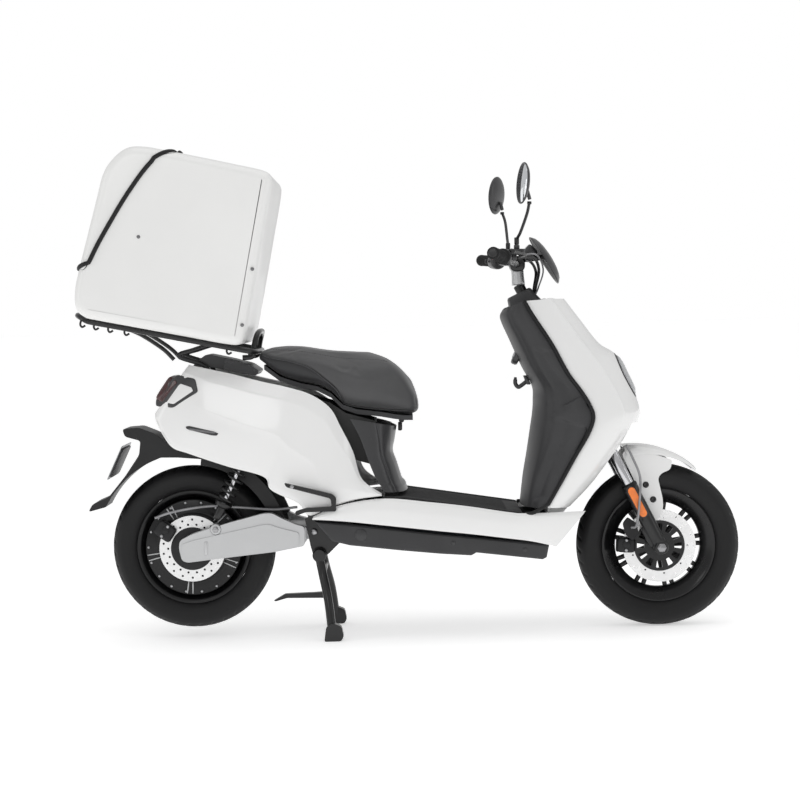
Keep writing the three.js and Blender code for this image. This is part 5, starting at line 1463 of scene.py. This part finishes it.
def arm_leg(side, word):
    outer, face = side * 126, side * 121.5
    main = plate(f"swingarm_leg_{word}", [SIDE_ARM], side * 92, face, alloy, "swingarm", 5)
    plate(f"swingarm_face_{word}", [WEB], face - side, outer, alloy, "swingarm", 3.2)
    bar = loft([[45, side * y, 241] for y in (125, 126.5, 128, 128.6)],
               [(5, 20), (5, 20), (4.4, 19), (3, 17)], X, Z, 28)
    build(f"swingarm_bar_{word}", *bar, alloy, "swingarm")
    nut = dome([[0, 0], [15, 0], [15, 2.5], [12.5, 2.5], [12.5, 11], [10.5, 12.5], [0, 12.5]],
               [0, outer, TYRE_R], side * Y, 6)
    tip = rod([0, outer, TYRE_R], [0, outer + side * 16, TYRE_R], 7, 20)
    if side > 0:
        build("rear_axle_nut", *merge(nut, tip), zinc, "swingarm")
    ear = rod([72, side * 97, 294], [72, side * 126, 294], 16, 28)
    bolt = dome([[0, 0], [9, 0], [9, 5], [7.5, 6.5], [0, 6.5]], [72, outer, 294], side * Y, 6)
    build(f"shock_low_eye_{word}", *ear, alloy, "swingarm")
    build(f"shock_low_bolt_{word}", *bolt, zinc, "swingarm")
    return main


legs = both_sides(arm_leg)
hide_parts("swingarm")
plate("swingarm_bridge", [outline([[264, 254], [326, 254], [326, 296], [270, 300]], 6)], -96, 96, alloy,
      "swingarm", 3)
NOSE = outline([[316, 256], [347, 262], [365, 281], [347, 300], [316, 296]], 7)
plate("swingarm_nose", [NOSE], -64, 64, alloy, "swingarm", 2)
build("swingarm_pin", *rod([347, -82, 281], [347, 82, 281], 9, 24), zinc, "swingarm")
build("rear_axle_bar", *rod([0, -93, TYRE_R], [0, 93, TYRE_R], 8, 24), zinc, "swingarm")
HOSE = [[-104, -80, 322], [-66, -84, 336], [-10, -84, 348], [60, -84, 356], [140, -84, 352], [230, -84, 346],
        [300, -84, 352]]
hose = build("rear_hose_line", *swept(smooth(HOSE, 60), 3.6, 12), cable_grey, "swingarm")
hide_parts("rear_brake_hose")
print("swingarm done")

# %% Shocks with coil springs
SHOCK_TOP, SHOCK_LOW = np.array([178.0, 0, 546]), np.array([72.0, 0, 318])
SHOCK_LEN = float(np.linalg.norm(SHOCK_LOW - SHOCK_TOP))
SHOCK_DIR = (SHOCK_LOW - SHOCK_TOP) / SHOCK_LEN


def shock(side, word):
    at = lambda d: SHOCK_TOP + SHOCK_DIR * d + Y * side * 118
    eye = ring_solid(outline([[6.6, -12], [15, -12], [15, 12], [6.6, 12]], 1.5, 3), at(0), Y, 32)
    tube_ = ring_solid(outline([[7.6, 12], [19.5, 12], [19.5, 90], [16, 92], [7.6, 92]], 1.5, 3), at(0),
                       SHOCK_DIR, 32)
    cap = ring_solid(outline([[7.6, 12], [26, 12], [26, 18], [19, 20], [7.6, 20]], 1.5, 3), at(0), SHOCK_DIR,
                     32)
    upper = build(f"shock_body_{word}", *merge(eye, tube_, cap), steel_black, f"shock_cylinder_{word}")
    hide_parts(f"shock_cylinder_{word}")
    shaft = build(f"shock_shaft_{word}", *rod(at(68), at(SHOCK_LEN - 40), 6.5, 20), bright,
                  f"shock_rod_{word}")
    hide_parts(f"shock_rod_{word}")
    seat_ = ring_solid(outline([[6, 0], [25, 0], [25, 6], [20, 13], [6, 14]], 1.5, 3), at(SHOCK_LEN - 57),
                       SHOCK_DIR, 32)
    clevis = swept([at(d) for d in np.linspace(SHOCK_LEN - 46, SHOCK_LEN - 6, 6)], [12, 13, 13, 13, 12, 9],
                   24)
    build(f"shock_foot_{word}", *merge(seat_, clevis), steel_black, f"shock_rod_{word}")
    turns, start, stop = 8.2, 22.5, SHOCK_LEN - 60
    f = np.linspace(0, 1, 320)
    n_ = np.cross(SHOCK_DIR, Y)
    coil = at(0) + SHOCK_DIR * (start + (stop - start) * f)[:, None]
    phase = turns * 2 * np.pi * f[:, None]
    coil = coil + 22 * (np.cos(phase) * n_ + np.sin(phase) * Y)
    spring = build(f"shock_spring_{word}", *swept(coil, 3.3, 10), steel_black, f"shock_cylinder_{word}")
    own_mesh(spring)
    bolt = dome([[0, 12], [9, 12], [9, 17], [7.5, 18.5], [0, 18.5]], SHOCK_TOP + side * 118 * Y, side * Y, 6)
    build(f"shock_top_bolt_{word}", *bolt, zinc, "chassis")


both_sides(shock)
print("shock length", round(SHOCK_LEN), "mm")

# %% Centre stand
def ground_at(x):
    """Height of the level ground under the leaning drawing at x."""
    return TYRE_R + (-TYRE_R + (x - WHEELBASE) * math.sin(LEAN)) / math.cos(LEAN)


stand_parts = [rod([362, -86, 216], [362, 86, 216], 8, 20), rod([372, -98, 168], [372, 98, 168], 9, 20)]
for side_ in (-1, 1):
    stand_parts.append(rod([362, side_ * 80, 216], [362, side_ * 104, 216], 19.5, 32))
    leg = smooth([[360, side_ * 88, 216], [372, side_ * 98, 160], [388, side_ * 126, 90],
                  [400, side_ * 150, ground_at(404) + 16]], 26)
    stand_parts.append(swept(leg, 12.5, 18))
stand = build("stand_frame", *merge(*stand_parts), steel_black, "stand")
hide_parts("centre_stand")
for side_, word in SIDES:
    g = ground_at(404)
    foot = outline([[377, ground_at(377) + 0.3], [424, ground_at(424) + 0.3], [432, g + 14], [426, g + 42],
                    [402, g + 52], [382, g + 40]], 6)
    plate(f"stand_foot_{word}", [foot], side_ * 150 - 14, side_ * 150 + 14, steel_black, "stand", 3)
lever = outline([[392, 80], [340, 76], [250, 72], [216, 52], [222, 50], [256, 60], [392, 60]], 4)
plate("stand_lever", [lever], 130, 148, steel_black, "stand", 2)


def peg(side, word):
    loop_ = [[270, 432], [276, 420], [352, 400], [398, 388], [402, 366], [330, 362], [300, 352], [302, 340],
             [330, 350],
             [414, 352], [414, 390], [404, 400], [356, 412]]
    p = plate(f"footpeg_bar_{word}", [outline(loop_, 5)], side * 192.3, side * 204.5, steel_black,
              f"footpeg_{word}", 3.5)
    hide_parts(f"footpeg_{word}")
    head = dome([[0, -1], [6, -1], [6, 1.6], [4, 3], [0, 3]], [292, side * 204, 421], side * Y, 6)
    build(f"footpeg_bolt_{word}", *head, zinc, f"footpeg_{word}")


both_sides(peg)
print("stand and footpegs done")

# %% [markdown]
# ## Front end
# The fork legs slide on bright stanchions. The fender is an arched sheet with a stay plate on
# each side, and a long reflector lies along each leg.

# %% Fork, fender, reflectors
FORK_HALF = 78.0


def fork_steer(z, y=0.0):
    return on_leg(z, -15, y)


stem = rod(fork_steer(545), fork_steer(985), 16, 28)
stanchions = [rod(on_leg(557, 0, s_ * FORK_HALF), on_leg(290, 0, s_ * FORK_HALF), 15, 28) for s_ in (-1, 1)]
stanchion = build("fork_stanchions", *merge(*stanchions), bright, "steering")
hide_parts("fork_yoke")
yoke = loft([on_leg(545, -8, y) for y in (-104, -101, -70, -40, 40, 70, 101, 104)],
            [(22, 12), (27, 15), (29, 15.5), (30, 14), (30, 14), (29, 15.5), (27, 15), (22, 12)], LEG_AHEAD,
            LEG_DOWN, 40)
build("fork_crown", *merge(stem, yoke), steel_black, "steering")


def fork_leg(side, word):
    y = side * FORK_HALF
    zs_ = (408, 404, 398, 392, 350, 300, 262, 240, 228)
    radii = [18.5, 22, 22.8, 21.2, 21.2, 21.6, 21, 20, 16]
    tube_ = swept([on_leg(k, 0, y) for k in zs_], radii, 32)
    lug = rod([WHEELBASE, y - side * 24, TYRE_R], [WHEELBASE, y + side * 22, TYRE_R], 20, 32)
    web = loft([on_leg(k, -17, y) for k in (300, 292, 250, 243)], [(8, 8), (11, 10), (12, 10), (6, 7)],
               LEG_AHEAD, Y, 28)
    leg_ = build(f"fork_slider_{word}", *merge(tube_, lug, web), steel_black, "fork_lowers")
    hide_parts(f"fork_lower_{word}")
    nut = dome([[0, 0], [13, 0], [13, 2], [11, 2], [11, 9], [9.5, 10.5], [0, 10.5]],
               [WHEELBASE, y + side * 22, TYRE_R], side * Y, 6)
    build(f"front_axle_nut_{word}", *nut, zinc, "fork_lowers")
    seal = ring_solid(outline([[15.4, -5], [22.5, -5], [22.5, 3], [19, 7], [15.4, 7]], 1.2, 3),
                      on_leg(408, 0, y), -LEG_DOWN, 32)
    build(f"fork_seal_{word}", *seal, cable_black, "fork_lowers")
    a0, a1 = np.array([1240, 402]), np.array([1280, 325])
    along_ = (a1 - a0) / np.linalg.norm(a1 - a0)
    across_ = np.array([-along_[1], along_[0]])
    arc = np.linspace(-np.pi / 2, np.pi / 2, 12)
    cap = lambda c, s_: c + 10.5 * (s_ * np.cos(arc)[:, None] * along_ + s_ * np.sin(arc)[:, None] * across_)
    stadium = np.vstack([cap(a1 - along_ * 8, 1), cap(a0 + along_ * 8, -1)])
    plate(f"reflector_{word}", [stadium], side * 99, side * 106, orange, "fork_lowers", 2.2)
    stadium_back = stadium.mean(0) + (stadium - stadium.mean(0)) * [1.14, 1.07]
    plate(f"reflector_frame_{word}", [stadium_back], side * 94, side * 101, dark_plastic, "fork_lowers", 1.5)


both_sides(fork_leg)
build("front_axle_bar", *rod([WHEELBASE, -80, TYRE_R], [WHEELBASE, 80, TYRE_R], 8, 24), zinc, "fork_lowers")
s, t = grid(90, 60)
a = np.radians(110 + (64 - 110) * s)
w = (t - 0.5) * 2
half = 60 * (1 - 0.35 * s ** 3)
r = TYRE_R + 12 + 58 * (1 - s) ** 0.9 - 30 * np.abs(w) ** 3 * (1 - 0.7 * s)
r = r + 3.5 * np.exp(-np.abs(np.abs(w) - 0.46) / 0.10) * (1 - s)
crown = np.stack([WHEELBASE + r * np.cos(a), half * np.sin(w * np.pi / 2), TYRE_R + r * np.sin(a)], -1)
fender = shell("fender_crown", crown, white_gloss, "fork_lowers", SKIN, lambda k: FRONT_HUB - k * [1, 0, 1])
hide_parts("front_fender")
STAY = [[1222, 494], [1234, 508], [1300, 500], [1366, 478], [1360, 451], [1334, 440], [1325, 426],
        [1338, 370], [1340, 346],
        [1333, 318], [1318, 304], [1296, 344], [1274, 384], [1250, 435]]


def stay(side, word):
    plate(f"fender_stay_{word}", [outline(STAY, 8)], side * 49, side * 54.5, white_gloss, "fork_lowers", 1.4)
    heads = []
    for x_, z_ in ((1290, 408), (1311, 366)):
        heads.append(dome([[0, -1], [9, -1], [9, 2], [6.5, 4.6], [4, 4.6], [3.2, 3], [0, 3]],
                          [x_, side * 54, z_], side * Y, 24))
    build(f"fender_bolts_{word}", *merge(*heads), steel_black, "fork_lowers")


both_sides(stay)
bracket = outline([[1236, 318], [1262, 300], [1268, 268], [1250, 250], [1230, 268], [1222, 300]], 6)
plate("caliper_bracket", [bracket], -74, -66, cast_grey, "fork_lowers", 1.5)
path = [on_leg(505, 44, -92), on_leg(470, 42, -102), on_leg(420, 36, -108), on_leg(370, 6, -112),
        on_leg(316, -34, -110),
        [1243, -101, 291]]
hose = build("front_hose_line", *swept(smooth(path, 60), 3.4, 12), cable_grey, "fork_lowers")
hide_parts("front_brake_hose")
print("fork and fender done")

# %% [markdown]
# ## Bar and controls
# The bar is one bent tube. Grips are ribbed, each rib a ripple in the radius. A switch block, a
# fluid reservoir and a lever sit on each side, and the mirrors stand on thin bent stems.

# %% Bar, grips, switches, levers
BAR_HALF, GRIP_IN = 352.0, 234.0
BAR_MID = np.array([928.0, 0, 1036.0])


def on_bar(side, y):
    """A point on the bar's straight outer stretch at distance y from the middle."""
    f_ = (y - 120) / (BAR_HALF - 120)
    return np.array([905.0, side * 120, 1046]) * (1 - f_) + np.array([842.0, side * BAR_HALF, 1058]) * f_


ends = [on_bar(s_, y) for s_, y in ((-1, 346), (-1, 240), (-1, 150), (-1, 110))]
path = np.array([*ends, [926, -30, 1036.5], [926, 30, 1036.5], *[p * [1, -1, 1] for p in ends[::-1]]])
bar = build("bar_tube", *swept(smooth(path, 120), 11, 20), steel_black, "steering")
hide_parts("handlebar")
clamp = loft([BAR_MID + Y * y for y in (-35, -33, -20, 20, 33, 35)],
             [(18, 17), (21, 20), (21.5, 21), (21.5, 21), (21, 20), (18, 17)],
             X, Z, 36, 0.7)
foot_ = fork_steer(984)
riser = swept(foot_ + (BAR_MID - foot_) * np.array([0, 0.12, 0.4, 0.75, 1])[:, None],
              [19, 18.6, 17.5, 17.5, 17.5], 28)
build("bar_clamp", *clamp, steel_black, "steering")
build("bar_riser", *riser, alloy, "steering")


def grip(side, word):
    body = "throttle" if side < 0 else "steering"
    y = np.linspace(GRIP_IN + 0.5, BAR_HALF, 150)
    f_ = (y - GRIP_IN) / (BAR_HALF - GRIP_IN)
    ribs_ = 0.9 * np.cos(2 * np.pi * (y - GRIP_IN) / 5.2) * step(f_, 0.10, 0.14) * (1 - step(f_, 0.90, 0.94))
    flange = 6.5 * (1 - step(f_, 0.02, 0.05)) + 1.4 * step(f_, 0.93, 0.95) * (1 - step(f_, 0.985, 1.0))
    radius = 15.8 + ribs_ + flange - 3 * step(f_, 0.985, 1.0)
    g = build(f"grip_ribbed_{word}", *swept([on_bar(side, k) for k in y], radius, 40), grip_black, body)
    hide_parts("throttle_grip" if side < 0 else "left_grip")
    end = rod(on_bar(side, BAR_HALF - 1), on_bar(side, BAR_HALF + 4), 12, 28)
    build(f"bar_end_{word}", *end, steel_black, "steering")


both_sides(grip)


def controls(side, word):
    c_ = on_bar(side, GRIP_IN - 24)
    d = on_bar(side, 300) - on_bar(side, 200)
    d /= np.linalg.norm(d)
    y = GRIP_IN - np.array([46, 44, 38, 24, 10, 4, 2])
    sleeve = swept([on_bar(side, k) for k in y], [19, 22, 23, 23.4, 23, 22, 20], 32)
    tank_at = np.array([c_[0] + 34, side * (GRIP_IN - 36), c_[2] + 15])
    tank = loft([tank_at + Z * k for k in (-8, -6, 4, 7, 8)],
                [(20, 22), (22, 24), (23, 25), (23, 25), (21, 23)], X, Y, 40)
    neck = loft([np.array([c_[0] + 14, side * (GRIP_IN - 36) + k, c_[2] + 2]) for k in (-15, -12, 12, 15)],
                [(18, 9), (20, 11), (20, 11), (18, 9)], X, Z, 28)
    boss = rod([c_[0] + 34, side * (GRIP_IN - 30), c_[2] + 22],
               [c_[0] + 34, side * (GRIP_IN - 30), c_[2] + 34], 8, 24)
    block = build(f"switch_block_{word}", *merge(sleeve, tank, neck, boss), pillar_plastic, "steering")
    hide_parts(f"switch_housing_{word}")
    screws = [dome([[0, -1], [2.6, -1], [2.6, 0.8], [0, 1.4]], tank_at + [k, side * -12 * (k / 14), 8], Z,
                   14) for k in (-14, 14)]
    build(f"reservoir_screws_{word}", *merge(*screws), zinc, "steering")
    p = np.array([c_[0] + 46, side * (GRIP_IN - 14), c_[2] + 4])
    tip = np.array([842 + 52, side * (BAR_HALF - 4), p[2] + 8])
    mid = np.array([p[0] + 8, p[1] + side * 42, p[2] + 1])
    line = smooth([p, mid, mid * 0.5 + tip * 0.5 + [2, 0, 0], tip], 40)
    f_ = np.linspace(0, 1, 40)
    blade = swept(line, 5.6 - 2.0 * step(f_, 0.1, 0.5) + 2.6 * step(f_, 0.93, 0.975), 16)
    eye = rod(p - Z * 4.5, p + Z * 4.5, 8.5, 24)
    lever_ = build(f"lever_blade_{word}", *merge(blade, eye), lever_black, f"brake_lever_{word}")
    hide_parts(f"brake_lever_{word}")


both_sides(controls)
for side_, body, node, look_ in ((-1, "start_button", "start_button", red_button),
                                 (1, "horn_button", "horn_button", dark_plastic)):
    c_ = on_bar(side_, GRIP_IN - 20)
    cap_ = dome([[0, -5], [6.4, -5], [6.8, -1.5], [6.2, -0.2], [3, 0], [0, 0]], c_ + [-33, 0, 0], -X, 28)
    cap_ = build(f"{node}_cap", *cap_, look_, body)
    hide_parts(node)
print("bar done")

# %% Mirrors
def turned(v, angle, i, j):
    """Points turned by an angle in the plane of axes i and j."""
    v = np.array(v, float)
    c, s_ = math.cos(angle), math.sin(angle)
    v[:, [i, j]] = v[:, [i, j]] @ np.array([[c, s_], [-s_, c]])
    return v


MIRROR = {-1: (930, 1248, 0.24, "right"), 1: (888, 1250, -0.5, "left")}
for side_, (mx, mz, turn, word) in MIRROR.items():
    c_ = on_bar(side_, GRIP_IN - 24)
    b_ = np.array([c_[0] + 34, side_ * (GRIP_IN - 30), c_[2] + 34.5])
    neck = np.array([mx + 14, side_ * 282, mz - 52.0])
    line = smooth([b_, b_ + [0, 0, 14], b_ * 0.75 + neck * 0.25 + [2, 0, 6],
                   b_ * 0.3 + neck * 0.7 + [4, 0, 4], neck], 50)
    stem_ = build(f"mirror_rod_{word}", *merge(swept(line, 4.2, 16), rod(b_, b_ + Z * 20, 7.5, 6),
                                               rod(neck - Z * 5, neck + Z * 3, 6, 20)),
                  steel_black, "steering")
    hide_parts(f"mirror_stem_{word}")
    back = dome([[0, -9], [18, -8.4], [32, -6.4], [43, -2.8], [49, 1.6], [50.5, 4], [50, 6], [48, 6.4],
                 [47, 5], [0, 5]], [0, 0, 0], X * -1, 64)
    glass = dome([[0, 4.4], [46.5, 4.4], [46.5, 5.4], [0, 5.9]], [0, 0, 0], X * -1, 64)

    def swing(shape, tip=0.0):
        """Turned about its stem, after an oval glass has leaned back by a tip."""
        v_ = turned(shape[0] * [1, 1, 1.12 if tip else 1], -tip, 0, 2)
        return turned(v_, turn, 0, 1) + [mx, side_ * 282, mz], shape[1]

    arm = swing(rod([16, 0, -44], [9, 0, -20], 5, 18))
    head_ = build(f"mirror_shell_{word}", *merge(swing(back, 0.08), arm), pillar_plastic, f"mirror_{word}")
    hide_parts(f"mirror_head_{word}")
    build(f"mirror_glass_{word}", *swing(glass, 0.08), mirror_glass, f"mirror_{word}")
print("mirrors done")

# %% Fly screen and instrument
LEAN_SCREEN = math.radians(32)
screen_axis = np.array([math.cos(LEAN_SCREEN), 0, math.sin(LEAN_SCREEN)])
screen = dome([[0, 14], [20, 13.4], [40, 11], [55, 7.4], [66, 3], [74, -3.6], [78, -8], [77, -10], [72, -7],
               [64, -1], [52, 3.4],
               [38, 6], [20, 8], [0, 9]], [1012, 0, 1052], screen_axis, 72)
stalk = rod([946, 0, 1050], [1020, 0, 1058], 8, 20)
knob = dome([[0, 8], [13, 8], [13, 0], [10, -6], [0, -7]], [1012, 0, 1052], screen_axis, 28)
screen = build("screen_dish", *merge(screen, stalk, knob), pillar_plastic, "steering")
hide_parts("fly_screen")
pod_axis = np.array([-math.sin(0.9), 0, math.cos(0.9)])
pod_side = np.cross(pod_axis, Y)
pod = loft([np.array([962, 0, 1066]) + pod_axis * k for k in (-16, -12, 8, 15, 17)],
           [(16, 40), (20, 44), (23, 47), (22, 46), (20, 44)],
           pod_side, Y, 40)
build("instrument_pod", *pod, dark_plastic, "steering")
face = loft([np.array([962, 0, 1066]) + pod_axis * k for k in (16.6, 17.6, 18.2)],
            [(17.5, 41), (17.5, 41), (16, 39)], pod_side, Y, 40)
build("instrument_glass", *face, clear_black, "steering")


def cable(name, points, radius, look_):
    c = build(name, *swept(smooth(points, 60), radius, 12), look_, None)
    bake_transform(c)


for side_, word in SIDES:
    s_ = on_bar(side_, GRIP_IN - 40)
    cable(f"control_cable_{word}", [s_ + [30, 0, 0], [966, side_ * 120, 1052], [986, side_ * 62, 1020],
                                    [980, side_ * 34, 975],
                                   [975, side_ * 24, 952]], 4.2, cable_black)
cable("brake_line", [on_bar(-1, GRIP_IN - 60) + [26, 0, 4], [975, -90, 1062], [1000, -40, 1020],
                     [988, -16, 970], [980, -12, 950]], 2.4, cable_grey)
print("controls done")

# %% [markdown]
# ## CAD pieces that stay as they are
# The frame, battery, controller, bucket, pan and seat base are mostly hidden. They keep their CAD
# meshes and take the finish of their slot. Round caps cover the screws in the belly pan.

# %% Finishes on carried-over pieces
KEPT = {"main_frame": steel_black, "battery_pack": case_paint, "motor_controller": alloy,
        "storage_bucket": bucket_black,
        "belly_pan": dark_plastic, "seat_base": dark_plastic}
for name, look_ in KEPT.items():
    nodes[name].data.materials.clear()
    nodes[name].data.materials.append(look_)
for side_, word in SIDES:
    heads = [dome([[0, -2], [r_, -2], [r_, 0.6], [r_ - 1.5, 1.4], [0, 1.4]], [x_, side_ * 150, z_], side_ * Y,
                  32)
             for x_, z_, r_ in ((481, 280, 17), (740, 256, 6), (940, 236, 6))]
    build(f"pan_caps_{word}", *merge(*heads), pillar_plastic, "chassis")
print(len(made), "pieces made here")
